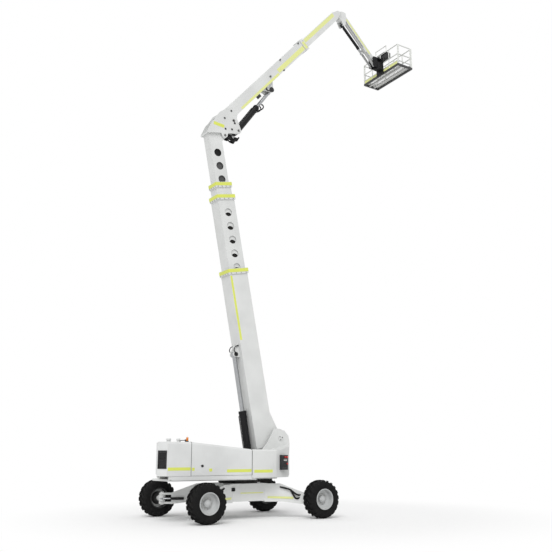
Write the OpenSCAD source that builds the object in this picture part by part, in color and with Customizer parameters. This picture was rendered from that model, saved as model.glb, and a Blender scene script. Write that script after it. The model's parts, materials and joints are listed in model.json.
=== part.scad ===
// Articulating boom lift standing raised, with its four axle legs swung out.
// Lengths are millimetres. X runs towards the platform, Y to the left, Z up.

// Piece to draw, or all of them

/* [Wheels] */
// Tyre diameter out to the lug tips
tyre_d = 1180; // [900:5:1300]
// Tyre width
tyre_w = 470; // [300:5:520]
// Height of the tyre's lugs
lug_h = 48; // [30:1:60]
// Lugs in each of the tyre's two rows
lugs = 20; // [16:2:20]
// Sweep of a lug in degrees for a whole tyre width
lug_sweep = 30; // [0:1:45]
// Rim diameter at the tyre's seat
rim_d = 640; // [500:5:760]
// Distance between the front and rear wheel centres
wheelbase = 4100; // [3400:10:5000]
// Distance between the left and right wheel centres
track = 3500; // [3000:10:4200]

/* [Chassis] */
// Length of the middle box
frame_l = 1380; // [1000:10:1800]
// Width of the middle box
frame_w = 1400; // [1000:10:1800]
// Underside of the middle box
frame_low = 530; // [400:5:700]
// Top of the middle box
frame_top = 1070; // [900:5:1200]
// Distance from a wheel's centre in to its king pin
king_in = 390; // [360:5:460]
// King pin diameter
king_d = 110; // [80:5:140]
// Length of a steering arm from its king pin
steer_arm = 210; // [150:5:260]
// Gap between a fork's plate and its wheel's centre height
fork_gap = 110; // [100:5:130]

/* [Turntable] */
// Diameter of the slewing ring
ring_d = 1250; // [900:10:1400]
// Underside of the deck, which is the slewing ring's top
deck_z = 1200; // [1150:5:1300]
// Thickness of the deck
deck_t = 60; // [30:5:80]
// Half width of the stow channel between the hoods
channel = 470; // [440:5:520]
// Half width of the turntable over its hoods
side_y = 1220; // [1100:5:1400]
// Rear end of the right hood behind the slewing axis
tail_x = 3280; // [3000:10:3800]
// Rear end of the left hood behind the slewing axis
short_x = 2620; // [2600:10:2900]
// Seam between the tail cover and the hood door
seam_rear = 2300; // [2000:10:2600]
// Seam between the hood door and the counterweight
seam_front = 200; // [100:10:400]
// Underside of the hoods
hood_low = 1350; // [1300:5:1450]
// Top of the hoods at the tail
hood_top = 2340; // [2200:5:2500]
// Top of the hoods beside the counterweight
hood_end = 2130; // [1900:5:2200]
// Thickness of a hood wall
hood_t = 40; // [25:1:60]
// Radius of the hoods' outer top edges
edge_r = 70; // [40:5:100]
// Front end of the cast weights, ahead of the slewing axis
nose_x = 1500; // [1300:10:1600]
// Thickness of a tower upright
upright_t = 60; // [40:5:80]
// Diameter of the tower's pivot pin
pivot_d = 140; // [110:5:170]

/* [Tower] */
// Pivot of the tower ahead of the slewing axis
pivot_x = 1350; // [1200:5:1500]
// Height of the tower's pivot
pivot_z = 2500; // [2400:5:2700]
// Distance from the pivot to the tower's centre line
tower_off = 520; // [480:5:600]
// Lean of the raised tower from upright
lean = 11; // [8:0.5:16]
// Depth of the base section
base_h = 710; // [660:5:760]
// Width of the base section
base_w = 600; // [540:5:640]
// Step in depth and width from each section to the next
step = 70; // [60:1:76]
// Wall of the tower's sections
tower_wall = 12; // [8:1:14]
// Height along the tower of the base section's top
base_top = 5860; // [5400:10:6000]
// Height along the tower of the first inner section's top
mid1_top = 8490; // [8000:10:8500]
// Height along the tower of the second inner section's top
mid2_top = 8940; // [8940:10:9200]
// Height along the tower of the fly section's top
fly_top = 10740; // [10500:10:11200]
// Length of the first inner section
mid1_l = 5300; // [4800:10:5500]
// Length of the second inner section
mid2_l = 5250; // [4800:10:5300]
// Length of the fly section
fly_l = 5500; // [5000:10:5550]
// Diameter of the round windows in the sections
window_d = 280; // [200:5:300]
// Pitch of the round windows
window_step = 485; // [420:5:560]

/* [Head] */
// Head pin's distance from the tower's centre line
head_off = 360; // [340:5:400]
// Head pin's distance below the fly section's top
head_drop = 100; // [80:5:140]
// Distance between the head's two side plates
head_gap = 470; // [440:5:520]
// Thickness of a head side plate
head_t = 40; // [25:1:60]

/* [Main boom] */
// Elevation of the main boom
main_up = 49; // [35:0.5:60]
// Pivot of the main boom ahead of the head pin
main_dx = 337; // [300:1:380]
// Pivot of the main boom above the head pin
main_dz = 636; // [600:1:680]
// Distance from the main boom's pivot up to the boom's centre line
main_off = 280; // [260:5:320]
// Depth of the main base section
main_h = 430; // [400:5:460]
// Width of the main base section
main_w = 380; // [340:5:400]
// Step from the base section to the fly section
main_step = 80; // [70:1:110]
// Wall of the main boom's sections
main_wall = 10; // [8:1:12]
// Length of the main base section from its pivot
main_l = 5200; // [4900:10:5500]
// Length of the main boom from its pivot to the jib head's pin
main_reach = 7800; // [7500:10:8200]
// Length of the fly section
main_fly_l = 5300; // [4800:10:5400]

/* [Jib] */
// Elevation of the jib, below level when negative
jib_up = -45; // [-56:0.5:-30]
// Length of the jib between its pins
jib_l = 2150; // [2100:10:2500]
// Distance between the jib arm's pin and the link's pin
jib_rise = 340; // [300:5:360]
// Depth of the jib arm
jib_h = 150; // [120:5:180]
// Width of the jib arm
jib_w = 130; // [110:5:150]
// Width of one link bar
link_w = 45; // [35:1:50]

/* [Platform] */
// Length of the platform across the machine
plat_l = 2200; // [1800:10:2440]
// Width of the platform
plat_w = 790; // [700:10:950]
// Height of the rails above the floor
rail_h = 880; // [800:10:1150]
// Diameter of the rail tubes
rail_d = 42; // [32:1:50]
// Distance from the rotator's axis to the platform's rear rail
rotator_gap = 265; // [240:5:400]

/* [Cylinders] */
// Diameter of the tower cylinder's barrel
tower_barrel_d = 240; // [200:5:260]
// Diameter of the tower cylinder's rod
tower_rod_d = 150; // [110:5:160]
// Diameter of the main cylinder's barrel
main_barrel_d = 210; // [180:5:220]
// Diameter of the main cylinder's rod
main_rod_d = 130; // [90:5:140]
// Diameter of the jib cylinder's barrel
jib_barrel_d = 115; // [100:5:120]
// Diameter of the jib cylinder's rod
jib_rod_d = 65; // [50:5:75]

// Diameter of a steering rod
steer_d = 45; // [35:1:55]

/* [Hidden] */
$fn = 64;

wheel_r = tyre_d / 2;
king_x = wheelbase / 2;
king_y = track / 2 - king_in;
leg_x = frame_l / 2 - 100;
leg_y = frame_w / 2 - 250;
leg_a = atan2(king_y - leg_y, king_x - leg_x);
leg_l = norm([king_x - leg_x, king_y - leg_y]);
play = 0.1;
wear = 0.25;
slope = atan2(hood_top - hood_end, seam_rear - seam_front);

// Widths and depths of the tower's sections, base first
sec_h = [for (i = [0:3]) base_h - i * step];
sec_w = [for (i = [0:3]) base_w - i * step];
collar = 190;
// Distance from each section's top down to its first window
window_first = [0, 647, 1230, 697];
// The tower cylinder's pins, the base pin in the machine and the eye on the tower
tcyl_x = 480;
tcyl_z = 1440;
teye_s = 2982;
teye_v = -base_h / 2 - 135;

// Points of the boom chain in the XZ plane
function tower_pt(v, s) = [pivot_x + (v - tower_off) * cos(lean) - s * sin(lean),
  pivot_z + (v - tower_off) * sin(lean) + s * cos(lean)];
function main_pt(s, w) = [main_p[0] + s * cos(main_up) - w * sin(main_up),
  main_p[1] + s * sin(main_up) + w * cos(main_up)];
function jib_pt(s, w) = [jib_p[0] + s * cos(jib_up) - w * sin(jib_up),
  jib_p[1] + s * sin(jib_up) + w * cos(jib_up)];
head_p = tower_pt(head_off, fly_top - head_drop);
main_p = head_p + [main_dx, main_dz];
mcyl_p = head_p + [540, 300];
meye_s = 2410;
meye_w = main_off - main_h / 2 - 200;
tip_p = main_pt(main_reach, main_off);
jib_p = tip_p + [330, 60];
jib_q = jib_p + [0, -jib_rise];
jcyl_p = jib_p + [-30, -480];
jeye_s = 1700;
jeye_w = -jib_h / 2 - 250;
jib_e = jib_pt(jib_l, 0);
rot_x = jib_e[0] + 185;
floor_z = jib_e[1] - 550;
plat_x = rot_x + rotator_gap;
front_x = plat_x + plat_w;
// The whole box is centred over the origin
slew_x = (tail_x - front_x) / 2;
teye_p = tower_pt(teye_v, teye_s);
meye_p = main_pt(meye_s, meye_w);
jeye_p = jib_pt(jeye_s, jeye_w);

// Plate drawn in the XZ plane, t thick and centred on y
module slab(y, t) translate([0, y + t / 2, 0]) rotate([90, 0, 0]) linear_extrude(t) children();
// Round bar along Y
module pin(d, l) rotate([90, 0, 0]) cylinder(d = d, h = l, center = true);
// Pair of round bosses from y = a to b on both sides
module bosses(a, b, d) for (e = [-1, 1]) slab(e * (a + b) / 2, b - a) circle(d = d);
// Square tube of depth h along X and width w along Y, drawn up from z = a to b
module box_tube(h, w, wall, a, b) difference() {
  translate([-h / 2, -w / 2, a]) cube([h, w, b - a]);
  translate([wall - h / 2, wall - w / 2, a - 1]) cube([h - 2 * wall, w - 2 * wall, b - a + 2]);
}
// Places children in the frame of the tower, the main boom and the jib
module in_tower() translate([pivot_x, 0, pivot_z]) rotate([0, -lean, 0])
  translate([-tower_off, 0, 0]) children();
module in_main() translate([main_p[0], 0, main_p[1]]) rotate([0, -main_up, 0]) children();
module in_jib() translate([jib_p[0], 0, jib_p[1]]) rotate([0, -jib_up, 0]) children();
module at(p) translate([p[0], 0, p[1]]) children();
// Points children along the line from p to q, with p at the origin and the line up Z
module along(p, q) at(p) rotate([0, 90 - atan2(q[1] - p[1], q[0] - p[0]), 0]) children();
// One corner of the machine, fx 1 for the front and fy 1 for the left
module corner(fx, fy) translate([fx * king_x, fy * king_y, wheel_r]) scale([fx, fy, 1]) children();

// Middle box of the chassis, with a bored tie-down tongue at each end
module chassis_frame() color("white") {
  difference() {
    union() {
      translate([-frame_l / 2, -frame_w / 2, frame_low])
        cube([frame_l, frame_w, frame_top - frame_low]);
      for (e = [-1, 1]) translate([e * (frame_l / 2 + 60), 0, frame_low + 150]) tie_plate();
    }
    translate([-frame_l / 2 + 25, -frame_w / 2 + 25, frame_low - 1])
      cube([frame_l - 50, frame_w - 50, frame_top - frame_low - 39]);
    for (e = [-1, 1]) translate([e * (frame_l / 2 + 70), 0, frame_low]) cylinder(d = 60, h = 300);
  }
}
module tie_plate() cube([200, 180, 40], center = true);

// One leg from the middle box out to its fork, along X from the box
fork_x = leg_l - 330;
fork_t = 60;
module leg() difference() {
  union() {
    intersection() {
      linear_extrude(frame_top) polygon([[-60, -230], [fork_x + 20, -110], [fork_x + 20, 110],
        [-60, 230]]);
      slab(0, 600) polygon([[-60, frame_low - 30], [0.5 * fork_x, frame_low - 30],
        [fork_x + 20, wheel_r - fork_gap - fork_t - 6], [fork_x + 20, wheel_r + fork_gap + fork_t + 6],
        [0.45 * fork_x, frame_top - 20], [-60, frame_top - 20]]);
    }
    for (z = [wheel_r - fork_gap - fork_t, wheel_r + fork_gap]) translate([0, 0, z])
      linear_extrude(fork_t) {
        translate([fork_x - 60, -king_d / 2 - 45]) square([leg_l - fork_x + 60, king_d + 90]);
        translate([leg_l, 0]) circle(d = king_d + 90);
      }
  }
  translate([leg_l, 0, 0]) cylinder(d = king_d + 2 * play, h = 2 * wheel_r);
}
module axle_legs() color("white") for (fx = [-1, 1], fy = [-1, 1]) scale([fx, fy, 1])
  difference() {
    translate([leg_x, leg_y, 0]) rotate(leg_a) leg();
    translate([-10, -10, 0]) cube([frame_l / 2 + 10, frame_w / 2 + 10, 2000]);
  }

module slew_ring() color("#333333") translate([0, 0, frame_top]) difference() {
  cylinder(d = ring_d, h = deck_z - frame_top - 0.2);
  translate([0, 0, -1]) cylinder(d = ring_d - 260, h = deck_z);
}

// Steering cylinders along the front of each leg; x runs along the leg from its king pin
module on_leg(fx, fy) corner(fx, fy) rotate(leg_a) translate([0, -steer_arm, 0]) children();
module steer_barrels() color("#222222") for (fx = [-1, 1], fy = [-1, 1]) on_leg(fx, fy)
  difference() {
    union() {
      translate([-720, 0, 0]) rotate([0, 90, 0]) cylinder(d = steer_d + 40, h = 420);
      translate([-720, 0, -30]) cube([60, steer_arm, 60]);
    }
    translate([-690, 0, 0]) rotate([0, 90, 0]) cylinder(d = steer_d + 4 * play, h = 420);
    translate([-leg_l, steer_arm, -wheel_r]) leg();
  }
module steer_rod(fx, fy) color("#b8b8b8") on_leg(fx, fy) {
  translate([-540, 0, 0]) rotate([0, 90, 0]) cylinder(d = steer_d, h = 515);
  cylinder(d = 80, h = 50, center = true);
}
module steer_rod_fl() steer_rod(1, 1);
module steer_rod_fr() steer_rod(1, -1);
module steer_rod_rl() steer_rod(-1, 1);
module steer_rod_rr() steer_rod(-1, -1);

// King pin, hub carrier, spindle and steering arm of one wheel
module knuckle(fx, fy) color("white") corner(fx, fy) {
  translate([0, 0, -fork_gap - fork_t - 30]) cylinder(d = king_d, h = 2 * (fork_gap + fork_t + 30));
  difference() {
    union() {
      cylinder(d = king_d + 90, h = 2 * fork_gap - 20, center = true);
      rotate([-90, 0, 0]) cylinder(d = 190, h = 200);
      rotate(leg_a) translate([-60, -steer_arm - 60, -52]) cube([120, steer_arm, 104]);
    }
    rotate(leg_a) translate([-200, -steer_arm - 90, -27]) cube([400, 170, 54]);
  }
  rotate([-90, 0, 0]) cylinder(d = 110, h = king_in + 40);
}
module knuckle_fl() knuckle(1, 1);
module knuckle_fr() knuckle(1, -1);
module knuckle_rl() knuckle(-1, 1);
module knuckle_rr() knuckle(-1, -1);

// Wheels turn about Y; the dish faces out
module wheel_place(fx, fy) translate([fx * king_x, fy * track / 2, wheel_r])
  scale([1, fy, 1]) rotate([-90, 0, 0]) children();
// Rings of a tyre's skin from the middle out: share of the width, radius on a lug and in a groove
tyre_rings = [[0, wheel_r - lug_h, wheel_r - lug_h], [0.06, wheel_r, wheel_r - lug_h],
  [0.46, wheel_r - 30, wheel_r - lug_h - 40], [0.5, wheel_r - 150, wheel_r - 150],
  [0.46, rim_d / 2 * 1.0023, rim_d / 2 * 1.0023]];
stations = 4 * lugs;
// Point of ring i, counted across the tyre, at station k; the two rows are half a pitch apart
function tyre_pt(i, k) = let (ring = tyre_rings[abs(i - 4)],
  turn = 360 / lugs * (floor(k / 4) + [0, 0.42, 0.5, 0.92][k % 4]) + lug_sweep * (ring[0] - 0.06),
  r = (k % 4 < 2) == (i > 4) ? ring[1] : ring[2])
  [r * cos(turn), r * sin(turn), sign(i - 4) * ring[0] * tyre_w];
function tyre_no(i, k) = (i % 9) * stations + k % stations;
// One closed skin with swept lugs, each a raised patch of the skin
module tyre(fx, fy) color("#1c1c1c") wheel_place(fx, fy) polyhedron(
  points = [for (i = [0:8], k = [0:stations - 1]) tyre_pt(i, k)],
  faces = [for (i = [0:8], k = [0:stations - 1], half = [0, 1]) half == 0
    ? [tyre_no(i, k), tyre_no(i + 1, k), tyre_no(i + 1, k + 1)]
    : [tyre_no(i, k), tyre_no(i + 1, k + 1), tyre_no(i, k + 1)]]);
module tyre_fl() tyre(1, 1);
module tyre_fr() tyre(1, -1);
module tyre_rl() tyre(-1, 1);
module tyre_rr() tyre(-1, -1);
module rim(fx, fy) color("white") wheel_place(fx, fy) rotate_extrude($fn = 72)
  polygon([[55 + play, -60], [150, -60], [190, 0], [rim_d / 2 - 30, 20], [rim_d / 2 - 30, -tyre_w * 0.45],
    [rim_d / 2, -tyre_w * 0.45], [rim_d / 2, tyre_w * 0.46], [rim_d / 2 - 22, tyre_w * 0.46],
    [rim_d / 2 - 40, 60], [200, 40], [170, 10], [120, 10], [110, 60], [55 + play, 60]]);
module rim_fl() rim(1, 1);
module rim_fr() rim(1, -1);
module rim_rl() rim(-1, 1);
module rim_rr() rim(-1, -1);

// Deck, hood sills, channel walls and the two tower uprights with the pivot pin between them
deck_top = deck_z + deck_t;
wall_y = channel + 10;
wall_t = 40;
door_y = wall_y + wall_t + 10;
hinge_d = 28;
function rear(e) = e > 0 ? short_x : tail_x;
module turntable_frame() color("white") {
  for (e = [-1, 1]) scale([1, e, 1]) translate([-rear(e) + 280, -1, deck_z])
    cube([rear(e) - 280, side_y - 59, deck_t]);
  translate([0, -channel - 60, deck_z]) cube([pivot_x - 200, 2 * channel + 120, deck_t]);
  translate([pivot_x - 450, -channel + 1, deck_z]) cube([300, 2 * channel - 2, 340]);
  for (e = [-1, 1]) {
    slab(e * (channel - upright_t / 2), upright_t) upright_outline();
    translate([-rear(e) + 280, e * (side_y - 60) - 40, deck_top - 1])
      cube([rear(e) - seam_front - 280, 80, hood_low - deck_top + 1]);
    slab(e * (wall_y + wall_t / 2), wall_t) polygon([[-rear(e) + 280, deck_top - 1],
      [-seam_front - 20, deck_top - 1], [-seam_front - 20, hood_end - hinge_d / 2 - 0.3],
      [-seam_rear, hood_top - hinge_d / 2 - 0.3], [-rear(e) + 280, hood_top - hinge_d / 2 - 0.3]]);
    at([tcyl_x, tcyl_z]) slab(e * 95, 40) hull() {
      circle(d = 170);
      translate([-120, deck_top - tcyl_z - 20]) square([240, 20]);
    }
  }
  at([pivot_x, pivot_z]) {
    pin(pivot_d, 2 * channel - 10);
    bosses(base_w / 2 + 0.3, channel - upright_t + 1, pivot_d + 110);
  }
  at([tcyl_x, tcyl_z]) pin(100, 229);
}
module upright_outline() polygon([[tcyl_x - 340, deck_z + 10], [pivot_x - 150, deck_z + 10],
  [pivot_x + 210, 1690], [pivot_x + 340, pivot_z - 450], [pivot_x + 350, pivot_z - 130],
  [pivot_x + 310, pivot_z + 70], [pivot_x + 150, pivot_z + 240], [pivot_x - 30, pivot_z + 300],
  [pivot_x - 230, pivot_z + 300], [pivot_x - 530, pivot_z - 200], [tcyl_x - 340, 1600]]);

// Cast weights beside the tower's foot, one each side, cut back at the front and hollow at the rear
module counterweight() color("white") for (e = [-1, 1]) scale([1, e, 1]) difference() {
  intersection() {
    translate([0, 0, deck_top]) linear_extrude(hood_top) polygon([[-seam_front + 8, channel + 0.3],
      [nose_x + 170, channel + 0.3], [nose_x, 720], [nose_x - 180, side_y - 200],
      [nose_x - 800, side_y], [-seam_front + 8, side_y]]);
    slab(0, 3 * side_y) polygon([[-seam_front + 8, deck_top], [nose_x - 230, deck_top],
      [nose_x + 60, 1690], [nose_x + 170, 2050], [nose_x + 170, 2330],
      [nose_x - 600, hood_end - 20], [-seam_front + 8, hood_end]]);
  }
  translate([-500, channel, 1000]) cube([500, side_y - 50 - channel, 2000]);
  translate([-seam_front, side_y, hood_end]) edge_cut(nose_x - 600, edge_r);
}

// Covers at the tail, one each side of the channel, open below and stood on the sills
function tail_cut(e) = e > 0 ? [0, 140, 260] : [180, 0, 190];
module tail_outline(e, l, t) polygon([[tail_cut(e)[0] + 1.3 * t, door_y + t],
  [tail_cut(e)[1] + 1.2 * t, side_y - 260 - 0.2 * t],
  [min(tail_cut(e)[2] + 0.5 * t, l - t - 1), side_y - t], [l - t, side_y - t], [l - t, door_y + t]]);
// Cutter that rounds the outer top edge of a hood, along X from the edge's rear end
module edge_cut(l, r) difference() {
  translate([-60, -r, -r]) cube([l + 120, r + 20, r + 20]);
  translate([-61, -r, -r]) rotate([0, 90, 0]) cylinder(r = r, h = l + 122);
}
module in_grille() translate([95, side_y - 130, 475]) rotate(atan2(260, 190)) children();
module tail_covers() color("white") for (e = [-1, 1]) scale([1, e, 1])
  translate([-rear(e), 0, hood_low]) {
    difference() {
      linear_extrude(hood_top - hood_low) tail_outline(e, rear(e) - seam_rear - 6, 0);
      translate([0, 0, -1]) linear_extrude(hood_top - hood_low - hood_t + 1)
        tail_outline(e, rear(e) - seam_rear - 6, hood_t);
      translate([0, side_y, hood_top - hood_low]) edge_cut(rear(e) - seam_rear, edge_r);
      if (e < 0) in_grille() cube([260, 200, 470], center = true);
    }
    if (e < 0) in_grille() for (k = [-3:3]) translate([0, -20, 64 * k]) rotate([25, 0, 0])
      cube([264, 36, 10], center = true);
  }

// Hood door hinged along its inner top edge, side panel and sloping top in one
module door_outline(low, drop, a) polygon([[-seam_rear + a, low], [-seam_front - 6 - a, low],
  [-seam_front - 6 - a, hood_end - drop], [-seam_rear + a, hood_top - drop]]);
module hood_door(e) color("white") scale([1, e, 1]) {
  difference() {
    slab((side_y + door_y) / 2, side_y - door_y) door_outline(hood_low + 5, 0, 0);
    slab((side_y + door_y) / 2 - hood_t, side_y - door_y) door_outline(0, hood_t, -50);
    translate([-seam_rear, side_y, hood_top]) rotate([0, slope, 0])
      edge_cut(seam_rear - seam_front, edge_r);
  }
  translate([-seam_rear, wall_y + wall_t / 2, hood_top]) rotate([0, slope, 0])
    for (x = [200, 1000, 1750]) {
      translate([x, 0, 0]) rotate([0, 90, 0]) cylinder(d = hinge_d, h = 150);
      translate([x, 0, -10]) cube([150, door_y - wall_y - wall_t / 2 + 10, 20]);
    }
}
module hood_door_left() hood_door(1);
module hood_door_right() hood_door(-1);

module engine_block() color("#444444") translate([-1950, -side_y + 140, deck_top])
  cube([1150, side_y - door_y - 200, 680]);
module fluid_tank() color("#555555") translate([-1950, door_y + 60, deck_top])
  cube([1300, side_y - door_y - 200, 600]);
// Ground control box on the slanted corner of the counterweight
module ground_controls() color("#222222") translate([nose_x - 800, -side_y, 1490])
  rotate(atan2(200, 620)) translate([160, -130.3, 0]) cube([270, 130, 460]);
// Amber lamp with a domed lens
module beacon() color("orange") translate([-seam_rear - 80, -side_y + 160, hood_top]) {
  cylinder(d = 90, h = 30);
  cylinder(d = 70, h = 110);
  translate([0, 0, 110]) sphere(d = 70);
}

// Section i of the tower from a to b, with its collar; the next section slides in the collar
module section(i, a, b) {
  difference() {
    box_tube(sec_h[i], sec_w[i], tower_wall, a, b - 1);
    if (i > 0) for (k = [0:[0, 4, 5, 2][i]])
      translate([0, 0, b - window_first[i] - k * window_step]) pin(window_d, 2000);
  }
  if (i < 3) box_tube(sec_h[i] + 70, sec_w[i] + 60, (step + 60) / 2 - wear, b - collar, b);
}
module tower_base() color("white") in_tower() difference() {
  union() {
    section(0, -200, base_top);
    for (e = [-1, 1]) slab(e * (base_w / 2 - 25), 50) difference() {
      hull() {
        translate([tower_off, 0]) circle(d = 260);
        translate([base_h / 2 - tower_wall, -200]) square([tower_wall, 1100]);
      }
    }
    for (e = [-1, 1]) slab(e * 110, 40) hull() {
      translate([teye_v, teye_s]) circle(d = 190);
      translate([-base_h / 2, teye_s - 110]) square([10, 480]);
    }
  }
  translate([tower_off, 0, 0]) pin(pivot_d + 2 * play, 2000);
}
module tower_mid_1() color("white") in_tower() section(1, mid1_top - mid1_l, mid1_top);
module tower_mid_2() color("white") in_tower() section(2, mid2_top - mid2_l, mid2_top);
module tower_fly() color("white") in_tower() difference() {
  union() {
    section(3, fly_top - fly_l, fly_top - 20);
    translate([-sec_h[3] / 2, -sec_w[3] / 2, fly_top - 40])
      cube([sec_h[3], sec_w[3], 40]);
    for (e = [-1, 1]) slab(e * (sec_w[3] / 2 - 20), 40) hull() {
      translate([head_off, fly_top - head_drop]) circle(d = 170);
      translate([sec_h[3] / 2 - 40, fly_top - 300]) square([40, 280]);
    }
  }
  translate([head_off, 0, fly_top - head_drop]) pin(90 + 2 * play, 2000);
}

// A barrel open at its mouth from a lug with a bored eye at p, pointed at q
module barrel(p, q, d, rod, l, pin_d, eye_w) along(p, q) difference() {
  union() {
    pin(pin_d + 90, eye_w);
    cylinder(d = min(d, eye_w), h = l);
    translate([0, 0, pin_d / 2 + 65]) cylinder(d = d, h = l);
  }
  pin(pin_d + 2 * play, 1000);
  translate([0, 0, pin_d / 2 + 90]) cylinder(d = rod + 2 * play, h = l);
}
// A rod from its eye at q back into its barrel, with its pin's ends beside the eye
module rod(p, q, d, l, eye_d, eye_w) along(q, p) {
  pin(eye_d, eye_w);
  cylinder(d = d, h = l);
}
module tower_barrel() color("#202020")
  barrel([tcyl_x, tcyl_z], teye_p, tower_barrel_d, tower_rod_d, 1850, 100, 149);
module tower_rod() color("#c4c6c8") rod([tcyl_x, tcyl_z], teye_p, tower_rod_d, 1960, 180, 169);
module main_barrel() color("#202020") barrel(mcyl_p, meye_p, main_barrel_d, main_rod_d, 1440, 90, 149);
module main_rod() color("#c4c6c8") rod(mcyl_p, meye_p, main_rod_d, 1500, 160, 159);
module jib_barrel() color("#202020") barrel(jcyl_p, jeye_p, jib_barrel_d, jib_rod_d, 1070, 60, 79);
module jib_rod() color("#c4c6c8") rod(jcyl_p, jeye_p, jib_rod_d, 1150, 90, 69);

// Head that stands on the fly section's top, hinged to it at the front
module upright_head() color("white") {
  for (e = [-1, 1]) {
    slab(e * (head_gap + head_t) / 2, head_t) head_outline();
  }
  in_tower() translate([-sec_h[3] / 2 - 40, -head_gap / 2 - 5, fly_top + wear])
    cube([sec_h[3] + 40, head_gap + 10, 60]);
  at(head_p) {
    pin(90, head_gap + 10);
    bosses(sec_w[3] / 2 + 0.3, head_gap / 2 + 1, 150);
  }
  at(main_p) {
    pin(110, head_gap + 10);
    bosses(main_w / 2 + 30.3, head_gap / 2 + 1, 200);
  }
  at(mcyl_p) {
    pin(90, 299);
    bosses(75, head_gap / 2 + 1, 150);
  }
}
module head_outline() polygon([
  tower_pt(-sec_h[3] / 2 - 60, fly_top - 10), tower_pt(head_off - 140, fly_top - 10),
  head_p + [-90, -60], head_p + [0, -95], head_p + [90, -40], head_p + [120, 110],
  mcyl_p + [40, -110], mcyl_p + [120, -20], mcyl_p + [80, 100],
  main_p + [130, 120], main_p + [-60, 420], main_p + [-380, 340], main_p + [-570, 200],
  main_p + [-760, -120], main_p + [-850, -220],
  tower_pt(-sec_h[3] / 2 - 60, fly_top + 60)]);

// Main boom, drawn along X from its pivot
module main_base() color("white") in_main() difference() {
  union() {
    translate([0, 0, main_off]) rotate([0, 90, 0]) {
      box_tube(main_h, main_w, main_wall, -320, main_l - 1);
      box_tube(main_h + 60, main_w + 60, (main_step + 60) / 2 - wear, main_l - 170, main_l);
    }
    for (e = [-1, 1]) slab(e * (main_w / 2 + 15), 30) hull() {
      circle(d = 240);
      translate([-280, main_off - main_h / 2]) square([640, 160]);
    }
    for (e = [-1, 1]) slab(e * 105, 40) hull() {
      translate([meye_s, meye_w]) circle(d = 180);
      translate([meye_s - 320, main_off - main_h / 2]) square([620, 10]);
    }
  }
  pin(110 + 2 * play, 2000);
}
module main_fly() color("white") in_main() translate([0, 0, main_off]) difference() {
  union() {
    rotate([0, 90, 0]) box_tube(main_h - main_step, main_w - main_step, main_wall,
      main_reach - 270 - main_fly_l, main_reach - 270);
    for (e = [-1, 1]) slab(e * ((main_w - main_step) / 2 - 15), 30) hull() {
      translate([main_reach, 0]) circle(d = 190);
      translate([main_reach - 540, -main_h / 2 + main_step / 2]) square([280, main_h - main_step]);
    }
  }
  translate([main_reach, 0, 0]) pin(80 + 2 * play, 2000);
}

// Levelled head at the main boom's tip that carries the jib
module jib_head() color("white") {
  difference() {
    union() {
      slab(0, main_w - main_step - 61) hull() {
        translate(tip_p) circle(d = 170);
        translate(jib_p + [-180, -340]) square([50, 400]);
      }
      slab(0, jib_w + 2 * link_w + 80) translate(jib_p + [-180, -340]) square([50, 400]);
      for (e = [-1, 1]) slab(e * (jib_w / 2 + link_w + 25), 30) hull() {
        translate(jib_p + [-180, -340]) square([50, 400]);
        translate(jib_p) circle(d = 130);
        translate(jib_q) circle(d = 130);
        translate(jcyl_p) circle(d = 130);
      }
    }
    translate([jib_p[0] - 130, -jib_w / 2 - link_w - 10, jib_p[1] - 800])
      cube([400, jib_w + 2 * link_w + 20, 1000]);
  }
  at(tip_p) pin(80, main_w - main_step - 1);
  at(jib_p) pin(60, jib_w + 2 * link_w + 30);
  at(jib_q) bosses(jib_w / 2 + 2, jib_w / 2 + link_w + 11, 50);
  at(jcyl_p) pin(60, jib_w + 2 * link_w + 30);
}
module jib_arm() color("white") in_jib() difference() {
  union() {
    pin(140, jib_w - 2);
    translate([0, -jib_w / 2 + 1, -jib_h / 2]) cube([jib_l, jib_w - 2, jib_h]);
    translate([jib_l, 0, 0]) pin(140, jib_w - 2);
    for (e = [-1, 1]) slab(e * 50, 24) hull() {
      translate([jeye_s, jeye_w]) circle(d = 110);
      translate([jeye_s - 150, -jib_h / 2]) square([210, 10]);
    }
  }
  pin(60 + 2 * play, 2000);
  translate([jib_l, 0, 0]) pin(60 + 2 * play, 2000);
}
module jib_link() color("#b4b4b0") at(jib_q) rotate([0, -jib_up, 0])
  for (e = [-1, 1]) difference() {
    slab(e * (jib_w / 2 + link_w / 2 + 5), link_w - 2) hull() {
      circle(d = 90);
      translate([jib_l, 0]) circle(d = 90);
    }
    pin(50 + 2 * play, 2000);
    translate([jib_l, 0, 0]) pin(50 + 2 * play, 2000);
  }

// Carrier at the jib's end with the platform's rotator
module platform_mount() color("#2a2a2a") {
  for (e = [-1, 1]) slab(e * (jib_w / 2 + link_w + 25), 30) hull() {
    translate(jib_e) circle(d = 120);
    translate(jib_e - [0, jib_rise]) circle(d = 110);
    translate([rot_x - 80, jib_e[1] - jib_rise - 50]) square([60, jib_rise + 100]);
  }
  at(jib_e) pin(60, jib_w + 2 * link_w + 30);
  at(jib_e - [0, jib_rise]) pin(50, jib_w + 2 * link_w + 30);
  translate([rot_x, 0, jib_e[1] - jib_rise - 55]) cylinder(d = 190, h = jib_rise + 110);
  translate([rot_x - 82, -120, jib_e[1] - jib_rise - 50]) cube([30, 240, jib_rise + 100]);
}
module platform_floor() color("#3a3a3a") {
  for (e = [-1, 1]) translate([plat_x, e * (plat_l / 2 - 30) - 30, floor_z - 80]) cube([plat_w, 60, 80]);
  for (k = [0, 0.33, 0.66, 1]) translate([plat_x + k * (plat_w - 60), -plat_l / 2, floor_z - 80])
    cube([60, plat_l, 80]);
  translate([plat_x + 55, -plat_l / 2 + 70, floor_z - 12]) cube([plat_w - 110, plat_l - 140, 15]);
  translate([plat_x + 75, -plat_l / 2 + 31, floor_z - 20]) cylinder(d = 60, h = 27.7);
}
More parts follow.
